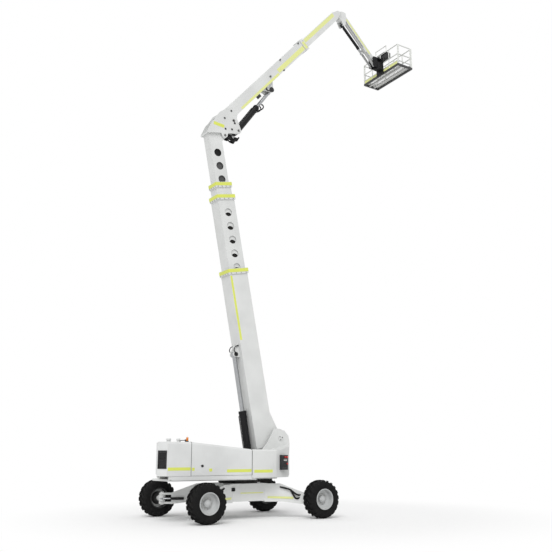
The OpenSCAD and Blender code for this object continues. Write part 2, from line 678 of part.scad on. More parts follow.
// Upright plate behind the platform with the two arms that swing on the rotator
module platform_bracket() color("#2a2a2a") {
  for (z = [jib_e[1] - jib_rise - 100.3, jib_e[1] + 55.3]) {
    translate([rot_x, 0, z]) cylinder(d = 190, h = 45);
    translate([rot_x, -95, z]) cube([rotator_gap - 20, 190, 45]);
  }
  translate([plat_x - 40.3, -200, floor_z - 80]) cube([40, 400, jib_e[1] + 180 - floor_z]);
}
// One flat rail panel in the XZ plane from x = 0 to l, standing on z = 0
module rail_panel(l, posts) {
  for (z = [140, rail_h / 2, rail_h - rail_d / 2]) translate([0, 0, z]) rotate([0, 90, 0])
    cylinder(d = rail_d, h = l);
  for (k = [0:posts]) translate([k * l / posts, 0, 0]) cylinder(d = rail_d, h = rail_h - rail_d / 2);
  translate([0, -4, 0]) cube([l, 8, 150]);
}
gate_w = 640;
module platform_rails() color("#c8ccc4") translate([plat_x, 0, floor_z]) {
  for (x = [rail_d / 2, plat_w - rail_d / 2]) translate([x, -plat_l / 2 + 21, 0]) rotate(90)
    rail_panel(plat_l - 42, 4);
  translate([60, plat_l / 2 - rail_d / 2, 0]) rail_panel(plat_w - 120, 1);
  for (y = [-380, 280]) translate([rail_d / 2, y, rail_h - 30]) cylinder(d = rail_d - 8, h = 300);
  translate([rail_d / 2, -397, rail_h + 253]) rotate([-90, 0, 0]) cylinder(d = rail_d - 8, h = 694);
}
module platform_gate() color("#c8ccc4")
  translate([plat_x + 75, -plat_l / 2 + 31, floor_z + 8]) {
    for (z = [140, rail_h / 2, rail_h - rail_d / 2]) translate([0, 0, z - 8]) rotate([0, 90, 0])
      cylinder(d = rail_d, h = gate_w);
    for (k = [0, 1]) translate([k * gate_w, 0, 0]) cylinder(d = rail_d, h = rail_h - rail_d / 2 - 8);
  }
module control_console() color("#222222") translate([plat_x, -330, floor_z + rail_h]) {
  translate([rail_d + 6, 0, -220]) cube([250, 560, 240]);
  translate([0, 40, 0]) cube([rail_d + 20, 480, 12]);
}

translate([slew_x, 0, 0]) {
  chassis_frame();
  axle_legs();
  slew_ring();
  steer_barrels();
  knuckle_fl();
  knuckle_fr();
  knuckle_rl();
  knuckle_rr();
  steer_rod_fl();
  steer_rod_fr();
  steer_rod_rl();
  steer_rod_rr();
  tyre_fl();
  tyre_fr();
  tyre_rl();
  tyre_rr();
  rim_fl();
  rim_fr();
  rim_rl();
  rim_rr();
  turntable_frame();
  counterweight();
  tail_covers();
  hood_door_left();
  hood_door_right();
  engine_block();
  fluid_tank();
  ground_controls();
  beacon();
  tower_base();
  tower_mid_1();
  tower_mid_2();
  tower_fly();
  tower_barrel();
  tower_rod();
  upright_head();
  main_base();
  main_fly();
  main_barrel();
  main_rod();
  jib_head();
  jib_arm();
  jib_link();
  jib_barrel();
  jib_rod();
  platform_mount();
  platform_bracket();
  platform_floor();
  platform_rails();
  platform_gate();
  control_console();
}
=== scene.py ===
import json
import math
import bmesh
import bpy
from mathutils import Matrix, Vector


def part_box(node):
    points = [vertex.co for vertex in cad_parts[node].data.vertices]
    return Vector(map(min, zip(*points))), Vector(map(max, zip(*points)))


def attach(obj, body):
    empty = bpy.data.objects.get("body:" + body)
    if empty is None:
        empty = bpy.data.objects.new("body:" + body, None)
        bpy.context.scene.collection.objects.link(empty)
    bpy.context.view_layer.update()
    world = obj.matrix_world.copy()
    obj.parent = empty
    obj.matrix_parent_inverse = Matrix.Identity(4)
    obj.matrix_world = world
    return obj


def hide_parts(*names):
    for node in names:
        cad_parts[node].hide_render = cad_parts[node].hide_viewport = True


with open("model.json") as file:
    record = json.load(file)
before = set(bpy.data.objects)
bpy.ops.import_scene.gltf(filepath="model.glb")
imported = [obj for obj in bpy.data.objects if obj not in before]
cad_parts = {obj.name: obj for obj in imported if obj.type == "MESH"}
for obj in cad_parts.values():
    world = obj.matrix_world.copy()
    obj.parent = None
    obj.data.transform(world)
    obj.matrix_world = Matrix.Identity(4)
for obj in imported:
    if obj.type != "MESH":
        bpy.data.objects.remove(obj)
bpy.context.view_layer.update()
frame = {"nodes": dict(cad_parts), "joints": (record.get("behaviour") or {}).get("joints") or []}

pin = {j["name"]: Vector(j["pos_m"]) for j in frame["joints"] if "pos_m" in j}
axis = {j["name"]: Vector(j["axis"]) for j in frame["joints"] if "axis" in j}

# Chassis: a welded steel box with four tapered legs, sprayed satin white over primer.
# The paint is a little uneven, with faint rain streaks, dust low down and small chips.
# The classes below let a finish be written as sums and products of its own textures.


def add_node(tree, kind, settings, sockets, out=0):
    """Adds one node to a tree and returns the output that is asked for."""
    made = tree.nodes.new(kind)
    for key, value in settings.items():
        setattr(made, key, value)
    for key, value in sockets.items():
        if hasattr(value, "is_output"):
            tree.links.new(value, made.inputs[key])
        elif made.inputs[key].type == "RGBA":
            made.inputs[key].default_value = (*value, 1)
        else:
            made.inputs[key].default_value = value
    return made.outputs[out]


class Wire:
    """One value in a finish; arithmetic on it adds Math nodes to the finish's tree."""

    def __init__(self, finish, socket):
        self.finish = finish
        self.socket = socket

    def maths(self, kind, *others):
        return self.finish.node("ShaderNodeMath", {"operation": kind}, dict(enumerate((self, *others))))

    def __add__(self, other):
        return self.maths("ADD", other)

    def __sub__(self, other):
        return self.maths("SUBTRACT", other)

    def __rsub__(self, other):
        return self * -1 + other

    def __mul__(self, other):
        return self.maths("MULTIPLY", other)

    def __gt__(self, other):
        return self.maths("GREATER_THAN", other)

    def __lt__(self, other):
        return self.maths("LESS_THAN", other)

    __radd__ = __add__
    __rmul__ = __mul__


class Finish:
    """A material whose shader is one Principled BSDF, fed by the nodes that the sections add."""

    def __init__(self, name, **constants):
        self.material = bpy.data.materials.new(name)
        self.material.use_nodes = True
        self.tree = self.material.node_tree
        self.shader = self.tree.nodes["Principled BSDF"]
        for socket, value in constants.items():
            self.shader.inputs[socket.replace("_", " ")].default_value = value
        self.spot = self.node("ShaderNodeTexCoord", {}, {}, "Object")

    def node(self, kind, settings, sockets, out=0):
        plain = {key: value.socket if isinstance(value, Wire) else value for key, value in sockets.items()}
        return Wire(self, add_node(self.tree, kind, settings, plain, out))

    def noise(self, scale, detail=3.0, stretch=(1, 1, 1)):
        at = self.node("ShaderNodeMapping", {}, {"Vector": self.spot, "Scale": stretch})
        return self.node("ShaderNodeTexNoise", {}, {"Vector": at, "Scale": scale, "Detail": detail}, "Fac")

    def ramp(self, value, low, high):
        return self.node("ShaderNodeMapRange", {"interpolation_type": "SMOOTHSTEP"},
            {"Value": value, "From Min": low, "From Max": high})

    def mix(self, amount, first, second):
        return self.node("ShaderNodeMix", {"data_type": "RGBA"}, {0: amount, 6: first, 7: second}, 2)

    def part(self, letter):
        return self.node("ShaderNodeSeparateXYZ", {}, {0: self.spot}, letter)

    def feed(self, socket, wire):
        self.tree.links.new(wire.socket, self.shader.inputs[socket])
        return self

    def bump(self, wire, strength, depth):
        normal = self.node("ShaderNodeBump", {}, {"Height": wire, "Strength": strength, "Distance": depth})
        return self.feed("Normal", normal)


RAIN_GREY, DUST_BROWN, PRIMER_GREY = (0.46, 0.45, 0.42), (0.42, 0.37, 0.29), (0.3, 0.29, 0.28)


def sprayed(name, colour, dust_top, gloss=0.36, wear=1.0):
    """Sprayed enamel with orange peel, rain streaks, dust below a height and small chips."""
    coat = Finish(name, Specular_IOR_Level=0.18 + 0.27 * min(1.0, wear))
    cloud = coat.noise(scale=1.3, detail=4.0)
    streak = coat.noise(scale=5.0, detail=3.0, stretch=(6.0, 6.0, 0.35))
    grain = coat.ramp(coat.noise(scale=60.0, detail=2.0), low=0.3, high=0.7)
    chip = coat.ramp(coat.noise(scale=34.0, detail=2.0), low=0.755, high=0.775)
    dust = coat.ramp(coat.part("Z") + 0.5 * cloud, low=dust_top + 0.25, high=dust_top - 0.35) * grain
    base = coat.mix(coat.ramp(cloud, low=0.3, high=0.75), colour, tuple(0.9 * c for c in colour))
    base = coat.mix(coat.ramp(streak, low=0.56, high=0.8) * (0.10 * wear), base, RAIN_GREY)
    base = coat.mix(dust * (0.3 * wear), base, DUST_BROWN)
    base = coat.mix(chip * (0.25 * wear), base, PRIMER_GREY)
    coat.feed("Base Color", base)
    coat.feed("Roughness", gloss + 0.16 * cloud + 0.25 * dust + 0.1 * chip)
    peel = coat.noise(scale=220.0, detail=1.0)
    return coat.bump(peel - 1.2 * chip, strength=0.05, depth=0.003)


def clouded(name, first, second, scale, detail, rough, spread, stretch=(1, 1, 1), **constants):
    """A finish of two tones, blended by a cloud of noise that also varies the roughness."""
    finish = Finish(name, **constants)
    cloud = finish.noise(scale, detail, stretch)
    finish.feed("Base Color", finish.mix(cloud, first, second))
    return finish.feed("Roughness", rough + spread * cloud)


WHITE, CHASSIS_WHITE, BLACK = (0.70, 0.71, 0.70), (0.77, 0.78, 0.77), (0.008, 0.008, 0.009)
chassis_paint = sprayed("chassis_enamel", CHASSIS_WHITE, dust_top=0.55)
black_enamel = sprayed("black_enamel", BLACK, dust_top=0.6, gloss=0.42, wear=0.1)


def dress(finish, slot_name, *nodes):
    """Gives CAD nodes a finish. The slot_name argument is not used."""
    for name in nodes:
        shape = frame["nodes"][name]
        shape.data.materials.clear()
        shape.data.materials.append(finish.material)


dress(chassis_paint, "white_paint", "chassis_frame", "axle_legs",
    "knuckle_fl", "knuckle_fr", "knuckle_rl", "knuckle_rr")
dress(black_enamel, "black_paint", "steer_barrels")

CORNERS = {"fl": (1, 1), "fr": (1, -1), "rl": (-1, 1), "rr": (-1, -1)}
slew = pin["slew"]
FRAME_HALF = Vector((0.69, 0.70, 0))


def at(x, y, z):
    """A point of the machine: ahead of the slewing centre, to its left, and above the ground."""
    return Vector((slew.x + x, y, z))


def shown(name, data):
    """A new object in the scene."""
    made = bpy.data.objects.new(name, data)
    bpy.context.scene.collection.objects.link(made)
    return made


def placed(name, mesh, body):
    """Makes a mesh a piece at the origin that rides on a body."""
    piece = shown(name, mesh)
    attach(piece, body)
    return piece


def make(name, shape, finish, body):
    """Turns a bmesh into a piece with one finish."""
    mesh = bpy.data.meshes.new(name)
    shape.to_mesh(mesh)
    shape.free()
    mesh.materials.append(finish.material)
    return placed(name, mesh, body)


def skin(bm, rows):
    """Joins rings of points, one to the next, with four-sided faces."""
    for low, high in zip(rows, rows[1:]):
        for k in range(len(low)):
            j = (k + 1) % len(low)
            bm.faces.new((low[k], low[j], high[j], high[k]))


def tube(bm, rows):
    """Joins rings of points and closes both ends."""
    skin(bm, rows)
    bm.faces.new(rows[0][::-1])
    bm.faces.new(rows[-1])


def outward(bm):
    """Turns all faces of a bmesh to look out."""
    bmesh.ops.recalc_face_normals(bm, faces=bm.faces[:])


def rounded(bm, place, length, width, thick, corner=0.012, steps=4):
    """Adds a thin plate with round corners, flat in the place's XY plane and raised along its Z."""
    rim = []
    for i, (sx, sy) in enumerate(((1, 1), (-1, 1), (-1, -1), (1, -1))):
        for k in range(steps + 1):
            turn = math.radians(90 * i + 90 * k / steps)
            rim.append((sx * (length / 2 - corner) + corner * math.cos(turn),
                sy * (width / 2 - corner) + corner * math.sin(turn)))
    low = [bm.verts.new(place @ Vector((x, y, 0))) for x, y in rim]
    top = [bm.verts.new(place @ Vector((x * 0.998, y * 0.99, thick))) for x, y in rim]
    tube(bm, [low, top])


def facing(spot, along, out):
    """A place at a spot whose X runs along one way and whose Z points out of a surface."""
    x = Vector(along).normalized()
    y = Vector(out).normalized().cross(x).normalized()
    z = x.cross(y)
    return Matrix(((x.x, y.x, z.x, spot[0]), (x.y, y.y, z.y, spot[1]), (x.z, y.z, z.z, spot[2]), (0, 0, 0, 1)))


def on_side(spot, side, along=(1, 0, 0)):
    """A place on a left or right face, whose X runs along the machine or another way."""
    return facing(spot, along, (0, side, 0))


def shifted(place, *step):
    """A place moved along its own X, Y and Z."""
    return place @ Matrix.Translation(step)


def new_tree(name, **inputs):
    """A Geometry Nodes tree with named inputs and one geometry output."""
    tree = bpy.data.node_groups.new(name, "GeometryNodeTree")
    tree.interface.new_socket("Geometry", in_out="INPUT", socket_type="NodeSocketGeometry")
    for key, value in inputs.items():
        kind = "NodeSocketFloat" if isinstance(value, float) else "NodeSocketMaterial"
        tree.interface.new_socket(key, in_out="INPUT", socket_type=kind).default_value = value
    tree.interface.new_socket("Geometry", in_out="OUTPUT", socket_type="NodeSocketGeometry")
    return tree, tree.nodes.new("NodeGroupInput").outputs


def scatter(tree, given, shape, upright):
    """Ends a tree: a shape at each point, turned its way, made real and given its finish."""
    way = add_node(tree, "GeometryNodeInputNamedAttribute", {"data_type": "FLOAT_VECTOR"}, {"Name": "way"})
    turned = add_node(tree, "FunctionNodeAlignEulerToVector", {"axis": "Z"}, {"Vector": way})
    if upright:
        turned = add_node(tree, "FunctionNodeAlignEulerToVector", {"axis": "Y", "pivot_axis": "Z"},
            {"Rotation": turned, "Vector": (0.0, 0.0, 1.0)})
    copies = add_node(tree, "GeometryNodeInstanceOnPoints", {},
        {"Points": given["Geometry"], "Instance": shape, "Rotation": turned})
    solid = add_node(tree, "GeometryNodeRealizeInstances", {}, {0: copies})
    coated = add_node(tree, "GeometryNodeSetMaterial", {}, {"Geometry": solid, "Material": given["Coat"]})
    tree.links.new(coated, tree.nodes.new("NodeGroupOutput").inputs[0])


def grown(name, tree, spots, body, slot_name, **inputs):
    """Runs a tree on points, each with its way, and keeps the result as a plain mesh piece."""
    points = bpy.data.meshes.new("spots")
    points.from_pydata([tuple(spot) for spot, way in spots], [], [])
    ways = points.attributes.new("way", "FLOAT_VECTOR", "POINT")
    for item, (spot, way) in zip(ways.data, spots):
        item.vector = tuple(way)
    seed = shown(name + "_seed", points)
    modifier = seed.modifiers.new("grow", "NODES")
    modifier.node_group = tree
    ids = {item.name: item.identifier for item in tree.interface.items_tree if item.in_out == "INPUT"}
    for key, value in inputs.items():
        modifier[ids[key]] = value
    bpy.context.view_layer.update()
    ready = seed.evaluated_get(bpy.context.evaluated_depsgraph_get())
    mesh = bpy.data.meshes.new_from_object(ready)
    mesh.name = name
    bpy.data.objects.remove(seed)
    return placed(name, mesh, body)


bolt_tree, given = new_tree("bolt_heads", Size=0.03, Coat=chassis_paint.material)
half_head, washer_r, washer_tall = (
    add_node(bolt_tree, "ShaderNodeMath", {"operation": "MULTIPLY"}, {0: given["Size"], 1: share})
    for share in (0.5, 1.45, 0.4))
head = add_node(bolt_tree, "GeometryNodeMeshCylinder", {},
    {"Vertices": 6, "Radius": given["Size"], "Depth": given["Size"]}, "Mesh")
raised = add_node(bolt_tree, "ShaderNodeCombineXYZ", {}, {2: half_head})
head = add_node(bolt_tree, "GeometryNodeTransform", {}, {"Geometry": head, "Translation": raised})
washer = add_node(bolt_tree, "GeometryNodeMeshCylinder", {},
    {"Vertices": 18, "Radius": washer_r, "Depth": washer_tall}, "Mesh")
both = bolt_tree.nodes.new("GeometryNodeJoinGeometry")
for shape in (head, washer):
    bolt_tree.links.new(shape, both.inputs[0])
scatter(bolt_tree, given, both.outputs[0], upright=False)


def bolts(name, spots, finish, body, slot_name, size):
    """Hexagon bolt heads with washers at spots, each pointing its own way."""
    return grown(name, bolt_tree, spots, body, slot_name, Size=size, Coat=finish.material)


zinc = clouded("zinc_plate", (0.52, 0.52, 0.5), (0.35, 0.35, 0.34), scale=40.0, detail=3.0,
    rough=0.3, spread=0.25, Metallic=0.85)

# A bolted inspection plate and a row of bolts close the ends of the chassis box.
# The plates are folded steel in the same white, held by zinc-plated hexagon heads.
PLATE_Y, PLATE_Z, PLATE_T = 0.36, 0.84, 0.012
BOLT_DY, BOLT_DZ = 0.17, 0.11
plate_bolts = []
for end, end_name in ((-1, "rear"), (1, "front")):
    plates = bmesh.new()
    for side in (-1, 1):
        spot = at(end * FRAME_HALF.x, side * PLATE_Y, PLATE_Z)
        place = facing(spot, (0, 1, 0), (end, 0, 0))
        rounded(plates, place, length=0.42, width=0.30, thick=PLATE_T, corner=0.04)
        for dy in (-BOLT_DY, BOLT_DY):
            for dz in (-BOLT_DZ, BOLT_DZ):
                plate_bolts.append((spot + Vector((end * PLATE_T, dy, dz)), (end, 0, 0)))
    make(f"end_plates_{end_name}", plates, chassis_paint, "chassis")
bolts("end_plate_bolts", plate_bolts, zinc, "chassis", "bright_rod", size=0.014)

# Retro-reflective safety tape in yellow-green, stuck to the legs, hoods and booms.
# Its face shows a fine honeycomb of seams and goes dull where dirt sits on it.
# The tape on legs and booms is older, so it is paler and its seams are worn away.
TAPE_T = 0.003
tape = Finish("safety_tape", Specular_IOR_Level=0.5)
tape_cloud = tape.noise(3.0, 4.0)
cells = tape.node("ShaderNodeTexVoronoi", {"feature": "DISTANCE_TO_EDGE"},
    {"Vector": tape.spot, "Scale": 130.0}, "Distance")
tape_seam = tape.ramp(cells, low=0.09, high=0.03)
tape_face = tape.mix(tape_cloud, (0.76, 0.81, 0.11), (0.62, 0.68, 0.13))
tape.feed("Base Color", tape.mix(tape_seam * 0.35, tape_face, (0.50, 0.55, 0.14)))
tape.feed("Roughness", 0.32 + 0.2 * tape_cloud)
worn_tape = clouded("worn_tape", (0.76, 0.79, 0.26), (0.70, 0.73, 0.36), scale=3.0, detail=4.0,
    rough=0.4, spread=0.2, Specular_IOR_Level=0.4)

LEG_ROOT = Vector((0.59, 0.45))
king = pin["steer_fl"] - slew
leg_way = (Vector((abs(king.x), abs(king.y))) - LEG_ROOT).normalized()
leg_out = Vector((-leg_way.y, leg_way.x))


def on_leg(fx, fy, along, across, height):
    """A point on a leg: along it from its root, across it to its outer side, at a height."""
    flat = LEG_ROOT + along * leg_way + across * leg_out
    return at(fx * flat.x, fy * flat.y, height)


LEG_TAPE_ENDS, LEG_TAPE_GAP = ((0.22, 0.2135, 0.64), (1.05, 0.147, 0.615)), 0.002
SILL_X, SILL_Z = 0.11, 0.785
leg_tape = bmesh.new()
for fx, fy in CORNERS.values():
    start, stop = (on_leg(fx, fy, *end) for end in LEG_TAPE_ENDS)
    out = Vector((fx * leg_out.x, fy * leg_out.y, 0))
    place = facing((start + stop) / 2 + out * LEG_TAPE_GAP, stop - start, out)
    rounded(leg_tape, place, length=(stop - start).length, width=0.065, thick=TAPE_T)
for side in (-1, 1):
    place = on_side(at(SILL_X, side * FRAME_HALF.y, SILL_Z), side)
    rounded(leg_tape, place, length=0.84, width=0.035, thick=TAPE_T)
make("leg_tape", leg_tape, worn_tape, "chassis")

# Hydraulic hoses: black rubber over wire braid, clipped along each leg towards its wheel motor.
# A black valve box sits on the chassis side where the hoses come out of the box.
hose_rubber = clouded("hose_rubber", (0.008, 0.008, 0.008), (0.018, 0.018, 0.018), scale=40.0, detail=3.0,
    rough=0.5, spread=0.2, Specular_IOR_Level=0.15)


def hose(bm, points, radius, steps=6, sides=10):
    """Adds a round tube along a smooth curve through points."""
    points = [Vector(p) for p in points]
    track = []
    for i in range(len(points) - 1):
        before, start, stop, after = (points[max(0, min(len(points) - 1, i + k))] for k in (-1, 0, 1, 2))
        for k in range(steps):
            t = k / steps
            track.append(0.5 * (2 * start + (stop - before) * t
                + (2 * before - 5 * start + 4 * stop - after) * t * t
                + (3 * start - before - 3 * stop + after) * t ** 3))
    track.append(points[-1])
    across = (track[1] - track[0]).orthogonal().normalized()
    rings = []
    for i, spot in enumerate(track):
        ahead = (track[min(i + 1, len(track) - 1)] - track[max(i - 1, 0)]).normalized()
        across = (across - ahead * across.dot(ahead)).normalized()
        up = ahead.cross(across)
        rings.append([bm.verts.new(spot + radius * (math.cos(math.tau * k / sides) * across
            + math.sin(math.tau * k / sides) * up)) for k in range(sides)])
    tube(bm, rings)


DRIVE_RUN = ((0.62, 0.18, 0.95), (0.78, 0.215, 0.92), (0.95, 0.215, 0.87), (1.06, 0.205, 0.78),
    (1.16, 0.18, 0.72), (1.24, 0.14, 0.70), (1.28, 0.09, 0.71))
STEER_RUN = ((0.96, 0.20, 0.86), (1.02, 0.19, 0.76), (1.08, 0.18, 0.66), (1.14, 0.16, 0.60),
    (1.21, 0.13, 0.60), (1.26, 0.09, 0.63))
LEG_HOSE_R, VALVE_X, VALVE_Z = 0.027, -0.62, 0.90
leg_hoses = bmesh.new()
valve_boxes = bmesh.new()
for fx, fy in CORNERS.values():
    for run in (DRIVE_RUN, STEER_RUN):
        hose(leg_hoses, [on_leg(fx, fy, *stop) for stop in run], LEG_HOSE_R)
    if fx < 0:
        place = on_side(at(VALVE_X, fy * FRAME_HALF.y, VALVE_Z), fy)
        rounded(valve_boxes, place, length=0.20, width=0.11, thick=0.035, corner=0.02)
make("leg_hoses", leg_hoses, hose_rubber, "chassis")
make("valve_boxes", valve_boxes, hose_rubber, "chassis")

# Wheels: foam-filled rubber tyres with bold chevron lugs, moulded in one with the casing.
# Each lug runs from near the middle over the shoulder, and the two rows are half a pitch apart.
rubber = Finish("tyre_rubber", Specular_IOR_Level=0.08)
rubber_cloud = rubber.noise(9.0, 5.0)
rubber_dust = rubber.ramp(rubber.noise(3.0, 4.0), low=0.45, high=0.75)
rubber_black = rubber.mix(rubber_cloud, (0.007, 0.007, 0.0075), (0.015, 0.0148, 0.0145))
rubber.feed("Base Color", rubber.mix(rubber_dust * 0.03, rubber_black, (0.13, 0.12, 0.105)))
rubber.feed("Roughness", 0.62 + 0.25 * rubber_cloud)
rubber.bump(rubber.noise(90.0), strength=0.25, depth=0.004)
tyre_low, tyre_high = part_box("tyre_fr")
TYRE_R = (tyre_high.z - tyre_low.z) / 2
TYRE_W = tyre_high.y - tyre_low.y
RIM_R, LUG_DEEP, LUGS, RINGS = 0.32, 0.042, 20, 80
BASE_R = TYRE_R - LUG_DEEP
HALF_CASING = [(RIM_R, -0.43), (RIM_R + 0.012, -0.47), (RIM_R + 0.035, -0.485), (RIM_R + 0.05, -0.462),
    (RIM_R + 0.06, -0.478), (TYRE_R - 0.15, -0.485), (TYRE_R - 0.09, -0.46), (BASE_R - 0.012, -0.41),
    (BASE_R, -0.30), (BASE_R + 0.006, 0.0)]
CASING = HALF_CASING + [(r, -w) for r, w in HALF_CASING[-2::-1]]
CROWN_DROP, SHOULDER_DROP, SHOULDER_AT, SHOULDER_RUN = 0.022, 0.10, 0.36, 0.14
LUG_STOPS = (0.03, 0.14, 0.25, 0.36, 0.44, 0.49)
LUG_SWEEP, LUG_HALF, LUG_FLARE, LUG_FOOT = 0.62, 0.026, 0.05, 1.25
LUG_SUNK, OUTER_SUNK, OUTER_FROM = 0.012, 0.035, 0.4


def wheel_spot(centre, side, radius, width, turn):
    """A point on a wheel at a radius, a share of its width and a turn about its axle."""
    return Vector((centre.x + radius * math.cos(turn), centre.y + side * width * TYRE_W,
        centre.z + radius * math.sin(turn)))


def crown(width):
    """Radius of the lugs' tops at a share of the tyre's width from its middle."""
    past = max(0.0, (width - SHOULDER_AT) / SHOULDER_RUN)
    return TYRE_R - CROWN_DROP * (width / 0.5) ** 2 - SHOULDER_DROP * past ** 2


for corner, (_, fy) in CORNERS.items():
    centre = pin[f"wheel_{corner}_spin"]
    tyre = bmesh.new()
    loops = [[tyre.verts.new(wheel_spot(centre, fy, r, w, math.tau * k / RINGS)) for r, w in CASING]
        for k in range(RINGS)]
    skin(tyre, loops + loops[:1])
    for row, shift in ((-1, 0.0), (1, 0.5)):
        for k in range(LUGS):
            bars = []
            for width in LUG_STOPS:
                lean = math.tau * (k + shift) / LUGS + LUG_SWEEP * width
                half = (LUG_HALF + LUG_FLARE * width) / TYRE_R
                top = crown(width)
                foot = top - LUG_DEEP - LUG_SUNK - (OUTER_SUNK if width > OUTER_FROM else 0)
                bars.append([tyre.verts.new(wheel_spot(centre, fy, r, row * width, lean + t)) for r, t in (
                    (foot, -half * LUG_FOOT), (top, -half), (top, half), (foot, half * LUG_FOOT))])
            tube(tyre, bars)
    outward(tyre)
    piece = make(f"tyre_lugged_{corner}", tyre, rubber, f"wheel_{corner}")
    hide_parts(f"tyre_{corner}")

# Rims: pressed and welded steel discs in white, with painted shade on their inner side, and ten nuts round the
# hub.
# A domed cap closes the planetary hub in the middle, and its face carries a drain plug.
rim_paint = sprayed("rim_enamel", (0.50, 0.51, 0.51), dust_top=0.45)
rim_white = Wire(rim_paint, rim_paint.shader.inputs["Base Color"].links[0].from_socket)
# Painted shade: rim faces on the machine's side of the wheel's centre plane are made near black.
rim_inner_shade = rim_paint.part("Y").maths("ABSOLUTE") < pin["wheel_fl_spin"].y + 0.003
rim_paint.feed("Base Color", rim_paint.mix(rim_inner_shade, rim_white, (0.03, 0.03, 0.03)))
dress(rim_paint, "white_paint", "rim_fl", "rim_fr", "rim_rl", "rim_rr")
NUTS, NUT_R, NUT_OUT, NUT_SIZE = 10, 0.150, 0.010, 0.017
HUB_R, HUB_SIDES = 0.105, 40
CAP_LINE = ((HUB_R, 0.055), (HUB_R, 0.085), (HUB_R - 0.012, 0.095), (0.075, 0.098), (0.07, 0.112),
    (0.05, 0.124), (0.022, 0.128), (0.022, 0.138))
for corner, (_, fy) in CORNERS.items():
    centre = pin[f"wheel_{corner}_spin"]
    nuts = [(wheel_spot(centre, fy, NUT_R, NUT_OUT / TYRE_W, math.tau * k / NUTS), (0, fy, 0))
        for k in range(NUTS)]
    bolts(f"wheel_nuts_{corner}", nuts, zinc, f"wheel_{corner}", "bright_rod", size=NUT_SIZE)
    cap = bmesh.new()
    rows = [[cap.verts.new(wheel_spot(centre, fy, r, out / TYRE_W, math.tau * k / HUB_SIDES))
        for k in range(HUB_SIDES)] for r, out in CAP_LINE]
    tip = cap.verts.new(wheel_spot(centre, fy, 0, CAP_LINE[-1][1] / TYRE_W, 0))
    skin(cap, rows)
    for near, far in zip(rows[-1], rows[-1][1:] + rows[-1][:1]):
        cap.faces.new((near, far, tip))
    cap.faces.new(rows[0])
    outward(cap)
    make(f"hub_cap_{corner}", cap, rim_paint, f"wheel_{corner}")

# Steering gear: short double-rod cylinders in black with ground and plated rods.
# Rods are hard chrome, drawn along their length, with a thin film of oil.
chrome = clouded("plated_rod", (0.50, 0.51, 0.52), (0.30, 0.31, 0.32), scale=60.0, detail=2.0,
    rough=0.16, spread=0.16, stretch=(1, 1, 0.05), Metallic=1.0)
dress(chrome, "bright_rod", "steer_rod_fl", "steer_rod_fr", "steer_rod_rl", "steer_rod_rr",
    "tower_rod", "main_rod", "jib_rod")

# Slewing ring: a forged ring with gear teeth cut round its outside, greased and dark.
# The ring bolts to the chassis top, and the turntable's pinion runs on the teeth.
ring_steel = sprayed("greased_steel", (0.030, 0.029, 0.028), dust_top=0.5, gloss=0.42, wear=0.2)
dress(ring_steel, "black_paint", "slew_ring")
ring_low, ring_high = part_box("slew_ring")
RING_R = (ring_high.x - ring_low.x) / 2
RING_Z = (ring_low.z + ring_high.z) / 2
TEETH = 96
block_tree, given = new_tree("blocks", Wide=0.02, Tall=0.07, Deep=0.03, Tilt=0.0, Coat=ring_steel.material)
sizes = add_node(block_tree, "ShaderNodeCombineXYZ", {},
    {0: given["Wide"], 1: given["Tall"], 2: given["Deep"]})
block = add_node(block_tree, "GeometryNodeMeshCube", {}, {"Size": sizes}, "Mesh")
tilt = add_node(block_tree, "ShaderNodeCombineXYZ", {}, {0: given["Tilt"]})
block = add_node(block_tree, "GeometryNodeTransform", {}, {"Geometry": block, "Rotation": tilt})
scatter(block_tree, given, block, upright=True)
teeth = []
for k in range(TEETH):
    way = Vector((math.cos(math.tau * k / TEETH), math.sin(math.tau * k / TEETH), 0))
    teeth.append((at(0, 0, RING_Z) + way * RING_R, way))
grown("ring_teeth", block_tree, teeth, "chassis", "black_paint", Coat=ring_steel.material)

# Turntable: deck, uprights and cast weight in white, with moulded hoods over the engine and tank.
# Hoods are glossier than the steel and carry thin dark gaps where the panels meet.
turntable_paint = sprayed("turntable_enamel", (0.71, 0.72, 0.71), dust_top=1.25)
weight_paint = sprayed("cast_weight_enamel", (0.68, 0.69, 0.68), dust_top=1.3, gloss=0.4)
hood_skin = sprayed("hood_skin", (0.70, 0.71, 0.705), dust_top=1.3, gloss=0.24)
engine_iron = sprayed("engine_iron", (0.05, 0.05, 0.052), dust_top=1.4, gloss=0.55)
dress(turntable_paint, "white_paint", "turntable_frame")
dress(weight_paint, "cast_weight", "counterweight")
dress(hood_skin, "hood_shell", "tail_covers", "hood_door_left", "hood_door_right")
dress(engine_iron, "engine_iron", "engine_block")
dress(engine_iron, "tank_paint", "fluid_tank")
SIDE_Y, SEAM_REAR, SEAM_FRONT = 1.22, 2.3, 0.2
TAIL_X, SHORT_X = 3.28, 2.62
STRIPE_TALL, SHORTEST_STRIPE = 0.09, 0.05
hood_tape = {body: bmesh.new() for body in ("turntable", "door_left", "door_right")}
for side, door, tail in ((1, "door_left", -2.34), (-1, "door_right", -3.06)):
    for body, x0, x1, height in (("turntable", tail, -2.32, 1.556), (door, -2.28, -2.19, 1.545),
            (door, -1.70, -1.60, 1.515), (door, -1.09, -0.22, 1.483), ("turntable", -0.12, 0.56, 1.46)):
        if x1 - x0 > SHORTEST_STRIPE:
            place = on_side(at((x0 + x1) / 2, side * SIDE_Y, height), side)
            rounded(hood_tape[body], place, length=x1 - x0, width=STRIPE_TALL, thick=TAPE_T)
for body, strips in hood_tape.items():
    make(f"hood_tape_{body}", strips, tape, body)

